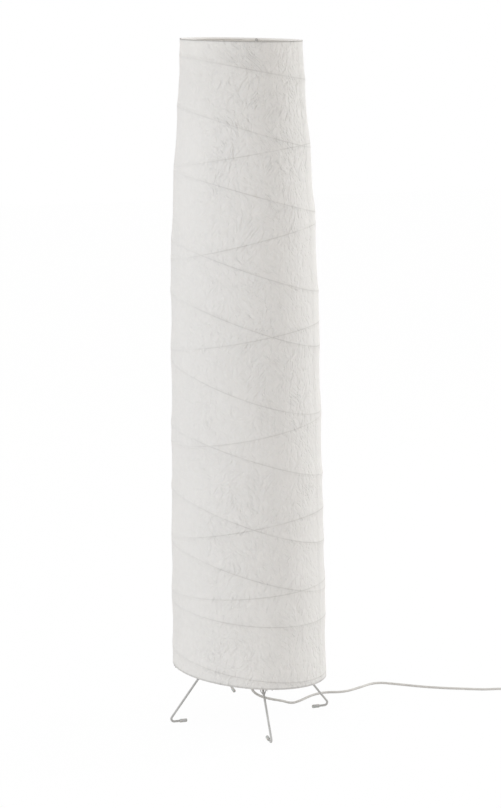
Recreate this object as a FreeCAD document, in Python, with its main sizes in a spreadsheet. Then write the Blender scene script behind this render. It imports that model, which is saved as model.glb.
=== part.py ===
import FreeCAD, Part
import math
import os
import re

import Sketcher
from FreeCAD import Placement, Rotation, Vector

# Paper lantern floor lamp, in millimetres, +Z up. The origin is on the floor under the lamp
# holder. The four legs stand on the X and Y axes: right +X, back +Y, left -X, front -Y.
# Azimuths are in degrees, counter-clockwise from +X seen from above.

UP = Vector(0, 0, 1)

# ---------------------------------------------------------------- driving dimensions

SIZES = {
    # Paper tube: outside radius at each height of its outline.
    "top_ring_height": 1360.0, "top_ring_reach": 116.5,
    "neck_height": 1210.0, "neck_reach": 127.5,
    "shoulder_height": 1060.0, "shoulder_reach": 138.5,
    "chest_height": 900.0, "chest_reach": 145.5,
    "waist_height": 660.0, "waist_reach": 149.0,
    "skirt_height": 270.0, "skirt_reach": 156.0,
    "bottom_ring_height": 106.0, "bottom_ring_reach": 157.0,
    "paper_thickness": 0.8,
    # Both ends are cut on a slant: the fall per millimetre, and the azimuth it falls towards.
    "top_ring_slant": 0.039, "top_ring_azimuth": 300.0,
    "bottom_ring_slant": 0.123, "bottom_ring_azimuth": 18.0,
    # Strips bent to hoops inside the paper: end rings, and ribs in an outer and an inner layer.
    "ring_depth": 3.0, "ring_rise": 4.0,
    "rib_depth": 1.2, "rib_rise": 2.0,
    "glue_line": 0.1,
    # Wire legs: each foot runs inwards along the floor from its bend.
    "wire_diameter": 4.5,
    "foot_reach": 171.5, "foot_length": 38.5, "foot_bend": 6.0,
    "leg_steepness": 1.35, "hub_bend": 8.0,
    "hub_height": 105.0, "hub_wire_start": 14.0,
    # Foot caps, with a small flat that meets the floor.
    "cap_radius": 3.5, "cap_length": 15.0, "cap_end_wall": 2.0,
    "cap_flat": 0.2, "cap_clearance": 0.1,
    # Forked tabs that carry the bottom ring.
    "tab_weld_height": 92.0, "tab_thickness": 1.6, "tab_pad": 7.0,
    "tab_spread": 6.0, "tab_prong": 2.2, "tab_root": 2.6, "tab_notch_start": 22.0,
    "weld_gap": 0.1, "seat_clearance": 0.3,
    # Uprights that carry the top ring.
    "upright_azimuth": 60.0, "upright_reach": 106.0, "upright_diameter": 4.0,
    "upright_bend": 5.0, "upright_seat_depth": 1.5,
    "socket_wall": 1.2, "socket_floor": 3.0, "socket_length": 34.0, "socket_clearance": 0.15,
    # Hub plate, and the threaded tube and nut that hold the lamp holder on it.
    "hub_plate_radius": 32.0, "hub_plate_thickness": 2.0,
    "nipple_radius": 5.0, "nipple_bore": 3.6, "nipple_above": 8.0, "nipple_below": 6.0,
    "nut_height": 4.0, "nut_corner_radius": 8.08, "thread_clearance": 0.1,
    "grip_radius": 8.0, "grip_nose_radius": 4.2, "grip_nose_height": 80.0, "grip_collar": 7.0,
    # Lamp holder for a 27 mm screw cap. Heights are from the top of the hub plate.
    "holder_radius": 20.0, "holder_wall": 3.0, "holder_floor": 4.0, "holder_chamfer": 6.0,
    "holder_ledge_height": 12.0, "holder_ledge_width": 4.0,
    "cup_height": 24.0, "skirt_top_height": 56.0, "skirt_lip": 1.5, "skirt_lip_height": 4.0,
    "block_top_height": 26.0, "block_clearance": 0.2,
    "shell_bore": 13.7, "shell_wall": 0.4, "shell_length": 24.0,
    "contact_radius": 4.0, "contact_rise": 1.5,
    # Bulb.
    "contact_gap": 0.3, "tip_radius": 4.5, "tip_rise": 2.2,
    "bulb_cap_clearance": 0.55, "bulb_cap_nose": 9.0, "bulb_cap_nose_rise": 5.0,
    "bulb_cap_length": 23.0, "bulb_length": 105.0, "globe_radius": 30.0,
    # Mains cord, its coil, and the tie round it.
    "cord_diameter": 5.0,
    "coil_start_x": 719.1, "coil_start_y": -8.3, "coil_lift": 0.9,
    "coil_first_radius": 35.5, "coil_pitch": 5.5, "coil_layer_rise": 5.5, "coil_end_run": 6.0,
    "tie_thickness": 0.8, "tie_width": 6.0, "tie_clearance": 0.3,
    # Rocker switch on the cord.
    "switch_x": 602.35, "switch_y": -45.75, "switch_azimuth": -22.0,
    "switch_length": 60.0, "switch_width": 26.0, "switch_corner": 6.0,
    "switch_base_height": 6.0, "switch_cover_height": 7.0,
    "rocker_half_length": 10.4, "rocker_width": 11.4, "rocker_rise": 5.5, "rocker_crown": 6.9,
    "rocker_foot": 6.2, "rocker_drop": 2.4, "rocker_pivot_height": 9.5, "rocker_tilt": 7.0,
    "rocker_end_clearance": 1.2, "rocker_side_clearance": 0.3,
    "trunnion_radius": 1.2, "trunnion_length": 1.2, "trunnion_clearance": 0.2,
    "relief_length": 20.0, "relief_root_radius": 4.0, "relief_nose_radius": 2.9,
    # Two-pin plug.
    "plug_x": 702.0, "plug_y": 57.05, "plug_azimuth": 120.0,
    "plug_length": 36.0, "plug_width": 35.0, "plug_height": 13.6, "plug_tail_width": 11.0,
    "plug_shoulder": 13.0, "plug_corner": 2.5,
    "pin_radius": 2.0, "pin_length": 19.0, "pin_spacing": 19.0,
}

# Ribs: name, height on the axis, fall per millimetre, azimuth it falls towards.
# Those that fall to the right lie against the paper, the others lie inside them.
OUTER_RIBS = (
    ("outer_a", 1310.0, 0.20, 345.0),
    ("outer_b", 1199.0, 0.32, 345.0),
    ("outer_c", 1074.0, 0.30, 355.0),
    ("outer_d", 931.0, 0.36, 350.0),
    ("outer_e", 828.0, 0.38, 345.0),
    ("outer_f", 698.0, 0.37, 335.0),
    ("outer_g", 565.0, 0.35, 355.0),
    ("outer_h", 435.0, 0.375, 350.0),
    ("outer_i", 329.0, 0.34, 355.0),
    ("outer_j", 241.0, 0.12, 350.0),
    ("outer_k", 131.0, 0.19, 350.0),
)
INNER_RIBS = (
    ("inner_a", 1144.0, 0.16, 155.0),
    ("inner_b", 979.0, 0.23, 160.0),
    ("inner_c", 795.0, 0.17, 155.0),
    ("inner_d", 609.0, 0.165, 165.0),
    ("inner_e", 417.0, 0.20, 135.0),
    ("inner_f", 287.0, 0.085, 115.0),
)
for rib, height, slant, azimuth in OUTER_RIBS + INNER_RIBS:
    SIZES[f"{rib}_height"] = height
    SIZES[f"{rib}_slant"] = slant
    SIZES[f"{rib}_azimuth"] = azimuth

# Round pieces have flat facets, all turned alike, so that one nests in the next.
PAPER_SIDES = 48
RIB_SIDES = 24
HOLDER_SIDES = 24
WIRE_SIDES = 12
CORD_SIDES = 5
GLOBE_BANDS = 7
GLOBE_NECK_ANGLE = 47.0
COIL_HALF_TURNS_LOW = 4
COIL_HALF_TURNS_HIGH = 3

# Steps that settle a hoop's radius, and how closely the coil's distance to itself is measured.
HOOP_ROUNDS = 8
GAP_STEP = 2.0
GAP_APART = 8

LEGS = (("right", 0.0), ("back", 90.0), ("left", 180.0), ("front", 270.0))

# Points that the free stretches of cord turn at, chosen by hand.
CORD_ROUTE = (
    (0.0, 0.0, 80.0), (0.0, 0.0, 62.0), (13.0, 4.0, 41.0), (44.0, 14.0, 24.5), (76.0, 25.0, 13.0),
    (97.0, 31.5, 2.5), (118.0, 40.0, 2.5), (150.0, 65.0, 2.5), (182.0, 75.0, 2.5),
    (222.0, 63.0, 2.5), (262.0, 80.0, 2.5), (305.0, 101.0, 2.5), (345.0, 77.0, 2.5),
    (390.0, 47.5, 2.5), (434.0, 25.0, 2.5), (476.0, 8.0, 2.5), (512.0, -7.0, 2.5),
    (539.8, -20.5, 6.0), (556.0, -27.0, 6.0),
)
MIDDLE_ROUTE = (
    (648.7, -64.5, 6.0), (674.7, -75.0, 6.0), (703.2, -65.7, 3.4), (719.1, -40.3, 3.4),
    (719.1, -14.3, 3.4),
)
END_ROUTE = (
    (719.1, -2.3, 8.9), (719.1, 16.0, 8.9), (713.0, 38.0, 6.8), (702.0, 57.05, 6.8),
)

# ---------------------------------------------------------------- document and sheet

doc = FreeCAD.newDocument("PaperLanternFloorLamp")
sheet = doc.addObject("Spreadsheet::Sheet", "Sizes")
for row, (alias, number) in enumerate(SIZES.items(), start=1):
    sheet.set(f"A{row}", alias)
    sheet.set(f"B{row}", str(number))
    sheet.setAlias(f"B{row}", alias)
doc.recompute()

sub_parts = []


def size(alias):
    """A driving dimension, as a number."""
    return float(sheet.get(alias))


def bound(text):
    """An expression in the sheet's names, as an object of the document reads it."""
    return re.sub(r"\b([a-z]+(?:_[a-z]+)+)\b", r"Sizes.\1", text)


def value(text):
    """The number that an expression in the sheet's names comes to."""
    return float(sheet.evalExpression(bound(text)))


def sub_part(thing, label):
    """Marks a finished object as a sub-part with its own name."""
    thing.Label = label
    sub_parts.append(thing)
    return thing


def turned(thing, x=0.0, y=0.0, z=0.0, azimuth=0.0):
    """Stands an object at a point, turned about the vertical."""
    thing.Placement = Placement(Vector(x, y, z), Rotation(UP, azimuth))
    return thing


# ---------------------------------------------------------------- sketches and bodies


def new_body(name):
    return doc.addObject("PartDesign::Body", f"{name}_body")


def flat_sketch(body, name, role, lift=None):
    """An empty sketch on one of a body's own origin planes, lifted by an expression."""
    sketch = body.newObject("Sketcher::SketchObject", name)
    plane = next(f for f in body.Origin.OriginFeatures if f.Role == role)
    sketch.AttachmentSupport = [(plane, "")]
    sketch.MapMode = "FlatFace"
    if lift is not None:
        sketch.setExpression(".AttachmentOffset.Base.z", bound(lift))
    return sketch


def pin_point(sketch, edge, end, across, along):
    """Ties a sketch point to the origin by two expressions."""
    for kind, axis, text in (("DistanceX", -2, across), ("DistanceY", -1, along)):
        number = value(text)
        if abs(number) < 1e-9:
            sketch.addConstraint(Sketcher.Constraint("PointOnObject", edge, end, axis))
        else:
            index = sketch.addConstraint(Sketcher.Constraint(kind, -1, 1, edge, end, number))
            sketch.setExpression(f"Constraints[{index}]", bound(text))


def outline_sketch(body, name, role, outline, lift=None):
    """A closed outline of straight sides. Each corner is a pair of expressions."""
    sketch = flat_sketch(body, name, role, lift)
    corners = [Vector(value(across), value(along), 0) for across, along in outline]
    count = len(corners)
    for i in range(count):
        sketch.addGeometry(Part.LineSegment(corners[i], corners[(i + 1) % count]), False)
    for i in range(count):
        sketch.addConstraint(Sketcher.Constraint("Coincident", i, 2, (i + 1) % count, 1))
    for i, (across, along) in enumerate(outline):
        pin_point(sketch, i, 1, across, along)
    return sketch


def axle_sketch(body, name, radius, rise="0"):
    """A circle round a level axis that runs across the body, at a height."""
    sketch = flat_sketch(body, name, "XZ_Plane")
    sketch.addGeometry(Part.Circle(Vector(0, value(rise), 0), UP, value(radius)), False)
    pin_point(sketch, 0, 3, "0", rise)
    index = sketch.addConstraint(Sketcher.Constraint("Radius", 0, value(radius)))
    sketch.setExpression(f"Constraints[{index}]", bound(radius))
    return sketch


def pad(body, name, sketch, length):
    solid = body.newObject("PartDesign::Pad", name)
    solid.Profile = sketch
    solid.setExpression("Length", bound(length))
    return solid


def pocket(body, name, sketch, length=None):
    """Cuts a sketch both ways, by a length or through all, and makes sure that it did cut."""
    doc.recompute()
    before = body.Shape.Volume
    recess = body.newObject("PartDesign::Pocket", name)
    recess.Profile = sketch
    recess.Midplane = True
    if length is None:
        recess.Type = "ThroughAll"
    else:
        recess.setExpression("Length", bound(length))
    doc.recompute()
    if body.Shape.Volume >= before - 1e-6:
        raise RuntimeError(f"{name} cuts nothing")
    return recess


def round_upright_edges(body, name, radius):
    """Fillets the vertical edges of the body as it stands."""
    doc.recompute()
    tip = body.Tip
    upright = [
        f"Edge{i}"
        for i, edge in enumerate(tip.Shape.Edges, start=1)
        if abs(edge.tangentAt(edge.FirstParameter).z) > 0.999
    ]
    fillet = body.newObject("PartDesign::Fillet", name)
    fillet.Base = (tip, upright)
    fillet.setExpression("Radius", bound(radius))
    return fillet


def primitive(kind, name, **sizes):
    """A Part primitive whose sizes are expressions."""
    thing = doc.addObject(f"Part::{kind}", name)
    for key, text in sizes.items():
        thing.setExpression(key, bound(text))
    return thing


def cut(name, base, tool):
    thing = doc.addObject("Part::Cut", name)
    thing.Base = base
    thing.Tool = tool
    return thing


def rod(name, radius, length, sides=WIRE_SIDES):
    """A straight bar whose section is a regular polygon in a circle of the given radius."""
    bar = primitive("Prism", name, Circumradius=radius, Height=length)
    bar.Polygon = sides
    return bar


def lofted(name, outline, sides):
    """A faceted turned solid through radius and height pairs, lofted between polygons."""
    rims = []
    for i, (radius, level) in enumerate(outline):
        rim = primitive("RegularPolygon", f"{name}_rim_{i}", Circumradius=radius)
        rim.Polygon = sides
        rim.setExpression(".Placement.Base.z", bound(level))
        rims.append(rim)
    loft = doc.addObject("Part::Loft", f"{name}_loft")
    loft.Sections = rims
    loft.Solid = True
    loft.Ruled = True
    return loft


def tapered(name, outline, sides):
    """A small turned solid through radius and height pairs, with flat facets that a loft bends."""
    rims = []
    for radius, level in outline:
        reach, z = value(radius), value(level)
        angles = [2 * math.pi * i / sides for i in range(sides)]
        rims.append([Vector(reach * math.cos(a), reach * math.sin(a), z) for a in angles])
    borders = [rims[0], rims[-1]]
    for low, high in zip(rims, rims[1:]):
        for i in range(sides):
            following = (i + 1) % sides
            borders.append([low[i], low[following], high[following], high[i]])
    shell = Part.Shell([Part.Face(Part.makePolygon(border + border[:1])) for border in borders])
    shell.sewShape()
    thing = doc.addObject("Part::Feature", f"{name}_facets")
    thing.Shape = Part.Solid(shell)
    return thing


def turned_piece(label, outside, hollows=(), sides=HOLDER_SIDES, height="0"):
    """A faceted turned piece with straight coaxial hollows: radius, low and high."""
    if len(outside) == 2 and outside[0][0] == outside[1][0]:
        (radius, low), (_, high) = outside
        piece = rod(f"{label}_outside", radius, f"{high} - ({low})", sides)
        piece.setExpression(".Placement.Base.z", bound(f"{height} + {low}"))
    else:
        piece = tapered(label, [(radius, f"{height} + {level}") for radius, level in outside], sides)
    for i, (radius, low, high) in enumerate(hollows):
        hollow = rod(f"{label}_inside_{i}", radius, f"{high} - ({low})", sides)
        hollow.setExpression(".Placement.Base.z", bound(f"{height} + {low}"))
        piece = cut(f"{label}_hollow_{i}", piece, hollow)
    return sub_part(piece, label)


def feature(label, shape):
    """A sub-part whose shape no sketch or primitive gives."""
    thing = doc.addObject("Part::Feature", f"{label}_shape")
    thing.Shape = shape
    return sub_part(thing, label)


# ---------------------------------------------------------------- bent wires and cords


def turn_radius(before, corner, after):
    """The largest even arc at a cord's corner: 0.45 of the shorter run over tan of half the turn."""
    turn = (corner - before).getAngle(after - corner)
    return 0.45 * min((corner - before).Length, (after - corner).Length) / math.tan(turn / 2)


def rounded_path(corners, radii):
    """Straight runs joined by tangent arcs."""
    edges = []
    start = corners[0]
    for before, corner, after, radius in zip(corners, corners[1:], corners[2:], radii):
        back = (before - corner).normalize()
        ahead = (after - corner).normalize()
        half = back.getAngle(ahead) / 2
        enter = corner + back * (radius / math.tan(half))
        leave = corner + ahead * (radius / math.tan(half))
        inward = (back + ahead).normalize()
        middle = corner + inward * (radius / math.sin(half) - radius)
        edges.append(Part.LineSegment(start, enter).toShape())
        edges.append(Part.Arc(enter, middle, leave).toShape())
        start = leave
    edges.append(Part.LineSegment(start, corners[-1]).toShape())
    return Part.Wire(edges)


def swept(path, start, ahead, diameter, sides):
    """A polygon in a circle of the given diameter, swept along a path from its start."""
    ahead = Vector(ahead).normalize()
    side = ahead.cross(UP if abs(ahead.z) < 0.9 else Vector(0, 1, 0)).normalize()
    other = ahead.cross(side)
    corners = []
    for i in range(sides):
        angle = 2 * math.pi * i / sides
        reach = side * math.cos(angle) + other * math.sin(angle)
        corners.append(start + reach * (diameter / 2))
    section = Part.makePolygon(corners + corners[:1])
    return path.makePipeShell([section], True, False)


def bent_wire(corners, radii, diameter):
    """A metal wire bent at its corners."""
    path = rounded_path(corners, radii)
    return swept(path, corners[0], corners[1] - corners[0], diameter, WIRE_SIDES)


def cord_solid(path, start, ahead):
    return swept(path, start, ahead, size("cord_diameter"), CORD_SIDES)


def free_cord(label, route):
    """A stretch of cord that lies free, with its radii and its volume printed."""
    points = [Vector(*point) for point in route]
    radii = [turn_radius(*three) for three in zip(points, points[1:], points[2:])]
    path = rounded_path(points, radii)
    solid = cord_solid(path, points[0], points[1] - points[0])
    section = CORD_SIDES / 2 * (size("cord_diameter") / 2) ** 2 * math.sin(2 * math.pi / CORD_SIDES)
    share = solid.Volume / (section * path.Length)
    print(f"{label}: length {path.Length:.1f}, volume over section times length {share:.4f}")
    print(f"{label}: radii {[round(radius, 1) for radius in radii]}")
    return feature(label, solid)


# ---------------------------------------------------------------- paper and its hoops

STATIONS = ("top_ring", "neck", "shoulder", "chest", "waist", "skirt", "bottom_ring")
OVERRUN = 40.0


def paper_inside(height):
    """The paper tube's inside radius at a height."""
    stations = [(size(f"{name}_height"), size(f"{name}_reach")) for name in STATIONS]
    reach = stations[0][1] if height > stations[0][0] else stations[-1][1]
    for (upper, narrow), (lower, wide) in zip(stations, stations[1:]):
        if lower <= height <= upper:
            reach = narrow + (wide - narrow) * (upper - height) / (upper - lower)
    return reach - size("paper_thickness")


def plane_height(name, x, y):
    """The height of a hoop's own slanted middle plane over a point."""
    fall = math.radians(size(f"{name}_azimuth"))
    return size(f"{name}_height") - size(f"{name}_slant") * (x * math.cos(fall) + y * math.sin(fall))


def hoop_outside(name, azimuth, rise, inset):
    """How far from the axis a hoop's outside lies at an azimuth, to stay inside the paper."""
    across, along = math.cos(azimuth), math.sin(azimuth)
    radius = paper_inside(size(f"{name}_height"))
    for _ in range(HOOP_ROUNDS):
        height = plane_height(name, radius * across, radius * along)
        narrow = min(paper_inside(height - rise / 2), paper_inside(height + rise / 2))
        radius = narrow - inset
    return radius


def hoop(name, depth, rise, inset, sides):
    """A strip bent to a closed hoop in a slanted plane that follows the inside of the paper."""
    outside, inside = [], []
    for i in range(sides):
        azimuth = 2 * math.pi * i / sides
        radius = hoop_outside(name, azimuth, rise, inset)
        for wire, reach in ((outside, radius), (inside, radius - depth)):
            x, y = reach * math.cos(azimuth), reach * math.sin(azimuth)
            wire.append(Vector(x, y, plane_height(name, x, y) - rise / 2))
    edge = Part.makePolygon(outside + outside[:1])
    hole = Part.makePolygon(inside + inside[:1])
    return Part.makeFace([edge, hole], "Part::FaceMakerBullseye").extrude(Vector(0, 0, rise))


def beyond_plane(name, offset, above):
    """A block that holds everything above, or below, a slanted plane."""
    fall = math.radians(size(f"{name}_azimuth"))
    slant = size(f"{name}_slant")
    normal = Vector(slant * math.cos(fall), slant * math.sin(fall), 1).normalize()
    width = 2 * (size("bottom_ring_reach") + OVERRUN)
    block = doc.addObject("Part::Box", f"{name}_waste")
    block.Length = width
    block.Width = width
    block.Height = 2 * OVERRUN
    turn = Rotation(UP, normal)
    corner = Vector(-width / 2, -width / 2, 0.0 if above else -2 * OVERRUN)
    centre = Vector(0, 0, size(f"{name}_height") + offset)
    block.Placement = Placement(centre + turn.multVec(corner), turn)
    return block


def make_shade():
    """The paper tube, its two end rings and its two layers of ribs."""
    outside = [(f"{name}_reach", f"{name}_height") for name in reversed(STATIONS)]
    outside.insert(0, ("bottom_ring_reach", f"bottom_ring_height - {OVERRUN}"))
    outside.append(("top_ring_reach", f"top_ring_height + {OVERRUN}"))
    inside = [(f"{reach} - paper_thickness", height) for reach, height in outside]
    hollow = lofted("paper_inside", inside, PAPER_SIDES)
    tube = cut("paper_long", lofted("paper_outside", outside, PAPER_SIDES), hollow)
    rise = size("ring_rise")
    trimmed = cut("paper_top_trim", tube, beyond_plane("top_ring", rise / 2, True))
    sub_part(cut("paper_trim", trimmed, beyond_plane("bottom_ring", -rise / 2, False)), "paper_tube")
    glue = size("glue_line")
    for name in ("top_ring", "bottom_ring"):
        feature(name, hoop(name, size("ring_depth"), rise, glue, PAPER_SIDES))
    depth = size("rib_depth")
    layers = (("ribs_outer", OUTER_RIBS, glue), ("ribs_inner", INNER_RIBS, 2 * glue + depth))
    for label, ribs, inset in layers:
        hoops = [hoop(rib[0], depth, size("rib_rise"), inset, RIB_SIDES) for rib in ribs]
        feature(label, Part.makeCompound(hoops))


# ---------------------------------------------------------------- stand


def foot_axis_height():
    return size("cap_radius") - size("cap_flat")


def leg_reach(height):
    """How far out a leg's sloping middle line is at a height."""
    return size("foot_reach") - (height - foot_axis_height()) / size("leg_steepness")


def make_legs():
    """Four bent wires, each with a cap on its foot."""
    foot, hub = foot_axis_height(), size("hub_height")
    cap_start = size("foot_reach") - size("foot_length")
    wire_end = cap_start + size("cap_end_wall") + size("cap_clearance")
    corners = [
        Vector(wire_end, 0, foot),
        Vector(size("foot_reach"), 0, foot),
        Vector(leg_reach(hub), 0, hub),
        Vector(size("hub_wire_start"), 0, hub),
    ]
    shape = bent_wire(corners, [size("foot_bend"), size("hub_bend")], size("wire_diameter"))
    for side, azimuth in LEGS:
        turned(feature(f"leg_{side}", shape), azimuth=azimuth)
        make_foot_cap(side, azimuth)


def make_foot_cap(side, azimuth):
    """A round cap over the wire's end, with a flat under it and a blind bore."""
    name = f"foot_cap_{side}"
    lie = Rotation(Vector(0, 1, 0), 90)
    start = Vector(size("foot_reach") - size("foot_length"), 0, foot_axis_height())
    outer = rod(f"{name}_outer", "cap_radius", "cap_length")
    outer.Placement = Placement(start, lie)
    bore = rod(f"{name}_bore", "wire_diameter / 2 + cap_clearance", "cap_length")
    bore.Placement = Placement(start + Vector(size("cap_end_wall"), 0, 0), lie)
    under = primitive(
        "Box", f"{name}_under", Length="cap_length", Width="2 * cap_radius", Height="cap_radius"
    )
    under.Placement = Placement(Vector(start.x, -size("cap_radius"), -size("cap_radius")), Rotation())
    cap = cut(f"{name}_cut", cut(f"{name}_bored", outer, bore), under)
    turned(sub_part(cap, name), azimuth=azimuth)


def ring_underside(azimuth, reaches, spread):
    """The lowest point of the bottom ring's underside over a small patch."""
    heights = []
    for reach in reaches:
        for side in (-spread, 0.0, spread):
            x = reach * math.cos(azimuth) - side * math.sin(azimuth)
            y = reach * math.sin(azimuth) + side * math.cos(azimuth)
            heights.append(plane_height("bottom_ring", x, y))
    return min(heights) - size("ring_rise") / 2


def make_ring_tabs():
    """Forked steel strips from the legs out to the bottom ring, which rests on their ends."""
    weld = size("tab_weld_height")
    root = leg_reach(weld)
    end = size("bottom_ring_reach")
    pad_start = end - size("tab_pad")
    thick, spread, prong = size("tab_thickness"), size("tab_spread"), size("tab_prong")
    half_root, notch = size("tab_root") / 2, size("tab_notch_start")
    fork = [
        (root, -half_root), (end, -spread), (end, prong - spread), (root + notch, 0.0),
        (end, spread - prong), (end, spread), (root, half_root),
    ]
    for side, azimuth in LEGS:
        turn = math.radians(azimuth)
        pad_height = ring_underside(turn, (pad_start, end), spread) - size("seat_clearance")
        top = [(root, weld), (pad_start, pad_height), (end, pad_height)]
        under = [(x, z - thick) for x, z in reversed(top)]
        strip = [Vector(x, -spread, z) for x, z in top + under]
        plan = [Vector(x, y, 0) for x, y in fork]
        bent = Part.Face(Part.makePolygon(strip + strip[:1])).extrude(Vector(0, 2 * spread, 0))
        forked = Part.Face(Part.makePolygon(plan + plan[:1])).extrude(Vector(0, 0, 2 * weld))
        slope = Vector(-1, 0, size("leg_steepness"))
        foot = Vector(size("foot_reach"), 0, foot_axis_height())
        seat = Part.makeCylinder(size("wire_diameter") / 2 + size("weld_gap"), 2 * weld, foot, slope)
        turned(feature(f"ring_tab_{side}", bent.common(forked).cut(seat)), azimuth=azimuth)


def make_uprights():
    """Two rods that stand in sockets on wire arms and carry the top ring on stepped tips."""
    radius = size("upright_diameter") / 2
    socket_inside = "upright_diameter / 2 + socket_clearance"
    socket_outside = f"{socket_inside} + socket_wall"
    reach, hub = size("upright_reach"), size("hub_height")
    low = hub - size("wire_diameter") / 2
    ring_inside = paper_inside(size("top_ring_height")) - size("ring_depth") - size("seat_clearance")
    for side, azimuth in (("back", 0.0), ("front", 180.0)):
        azimuth += size("upright_azimuth")
        arm = rod(f"arm_{side}_wire", "wire_diameter / 2", "upright_reach - hub_wire_start")
        arm.Placement = Placement(Vector(size("hub_wire_start"), 0, hub), Rotation(Vector(0, 1, 0), 90))
        cope = rod(f"arm_{side}_cope", socket_outside, "socket_length")
        cope.Placement = Placement(Vector(reach, 0, low), Rotation())
        turned(sub_part(cut(f"arm_{side}_cut", arm, cope), f"upright_arm_{side}"), azimuth=azimuth)
        tube = rod(f"socket_{side}_tube", socket_outside, "socket_length")
        tube.Placement = cope.Placement
        hole = rod(f"socket_{side}_hole", socket_inside, "socket_length")
        hole.Placement = Placement(Vector(reach, 0, low + size("socket_floor")), Rotation())
        socket = sub_part(cut(f"socket_{side}_cut", tube, hole), f"upright_socket_{side}")
        turned(socket, azimuth=azimuth)
        turn = math.radians(azimuth)
        ring_middle = paper_inside(size("top_ring_height")) - size("ring_depth") / 2
        under_ring = plane_height(
            "top_ring", ring_middle * math.cos(turn), ring_middle * math.sin(turn)
        ) - size("ring_rise") / 2
        step = under_ring - size("seat_clearance")
        tip = step + size("upright_seat_depth") - radius
        end = paper_inside(size("top_ring_height")) - size("seat_clearance")
        corners = [
            Vector(reach, 0, low + size("socket_floor")), Vector(reach, 0, tip), Vector(end, 0, tip),
        ]
        upright = bent_wire(corners, [size("upright_bend")], size("upright_diameter"))
        block = size("upright_diameter")
        seat = Part.makeBox(2 * block, 2 * block, block, Vector(ring_inside, -block, step))
        turned(feature(f"upright_rod_{side}", upright.cut(seat)), azimuth=azimuth)


PLATE_UNDERSIDE = "hub_height + wire_diameter / 2"
PLATE_TOP = f"{PLATE_UNDERSIDE} + hub_plate_thickness"
NIPPLE_LOW = f"{PLATE_UNDERSIDE} - nut_height - nipple_below"


def make_hub():
    """The plate that the wires are welded under, and the threaded tube, nut and cord grip."""
    hole = "nipple_radius + thread_clearance"
    turned_piece(
        "hub_plate", [("hub_plate_radius", "0"), ("hub_plate_radius", "hub_plate_thickness")],
        [(hole, "0", "hub_plate_thickness")], height=PLATE_UNDERSIDE,
    )
    length = "nipple_above + hub_plate_thickness + nut_height + nipple_below"
    turned_piece(
        "nipple", [("nipple_radius", "0"), ("nipple_radius", length)],
        [("nipple_bore", "0", length)], height=NIPPLE_LOW,
    )
    mouth = f"{PLATE_UNDERSIDE} - nut_height"
    flats = rod("nut_flats", "nut_corner_radius", "nut_height", 6)
    thread = rod("nut_thread", hole, "nut_height", HOLDER_SIDES)
    for thing in (flats, thread):
        thing.setExpression(".Placement.Base.z", bound(mouth))
    sub_part(cut("nut_cut", flats, thread), "nipple_nut")
    turned_piece(
        "cord_grip",
        [("grip_nose_radius", "grip_nose_height"), ("grip_radius", f"{mouth} - grip_collar"),
         ("grip_radius", mouth)],
        [(hole, NIPPLE_LOW, mouth)],
    )


def make_lamp_holder():
    """A two-part housing round a ceramic block with its screw shell and centre contact."""
    hole = "nipple_radius + thread_clearance"
    inside = "holder_radius - holder_wall"
    turned_piece(
        "holder_cup",
        [("holder_radius - holder_chamfer", "0"), ("holder_radius", "holder_chamfer"),
         ("holder_radius", "cup_height")],
        [
            (inside, "holder_ledge_height", "cup_height"),
            (f"{inside} - holder_ledge_width", "holder_floor", "holder_ledge_height"),
            (hole, "0", "holder_floor"),
        ],
        height=PLATE_TOP,
    )
    lip = "skirt_top_height - skirt_lip_height"
    turned_piece(
        "holder_skirt",
        [("holder_radius", "cup_height"), ("holder_radius", lip),
         ("holder_radius + skirt_lip", f"{lip} + skirt_lip"),
         ("holder_radius + skirt_lip", "skirt_top_height")],
        [(inside, "cup_height", "skirt_top_height")], height=PLATE_TOP,
    )
    block = f"{inside} - block_clearance"
    turned_piece("holder_block", [(block, "holder_ledge_height"), (block, "block_top_height")],
                 height=PLATE_TOP)
    shell = "shell_bore + shell_wall"
    shell_top = "block_top_height + shell_length"
    turned_piece("screw_shell", [(shell, "block_top_height"), (shell, shell_top)],
                 [("shell_bore", "block_top_height", shell_top)], height=PLATE_TOP)
    turned_piece(
        "centre_contact",
        [("contact_radius", "block_top_height"), ("contact_radius", "block_top_height + contact_rise")],
        height=PLATE_TOP,
    )


def make_bulb():
    """The contact tip, the screw cap and the globe, whose round stretch is short cones."""
    low = "block_top_height + contact_rise + contact_gap"
    cap_low = f"{low} + tip_rise"
    cap_top = f"{cap_low} + bulb_cap_length"
    cap_radius = "shell_bore - bulb_cap_clearance"
    turned_piece("bulb_tip", [("tip_radius", low), ("tip_radius", cap_low)], height=PLATE_TOP)
    insulator = primitive(
        "Cylinder", "bulb_cap_insulator", Radius="bulb_cap_nose", Height="bulb_cap_nose_rise"
    )
    insulator.setExpression(".Placement.Base.z", bound(f"{PLATE_TOP} + {cap_low}"))
    screw = primitive(
        "Cylinder", "bulb_cap_screw", Radius=cap_radius, Height="bulb_cap_length - bulb_cap_nose_rise"
    )
    screw.setExpression(".Placement.Base.z", bound(f"{PLATE_TOP} + {cap_low} + bulb_cap_nose_rise"))
    cap = doc.addObject("Part::Fuse", "bulb_cap_joined")
    cap.Base = screw
    cap.Tool = insulator
    sub_part(cap, "bulb_cap")
    centre = f"{low} + bulb_length - globe_radius"
    globe = [(cap_radius, cap_top)]
    for band in range(GLOBE_BANDS + 1):
        angle = GLOBE_NECK_ANGLE + (band + 0.5) * (180.0 - GLOBE_NECK_ANGLE) / (GLOBE_BANDS + 1)
        globe.append((f"globe_radius * sin({angle})", f"{centre} - globe_radius * cos({angle})"))
    turned_piece("bulb_globe", globe, height=PLATE_TOP)


# ---------------------------------------------------------------- switch and plug


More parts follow.
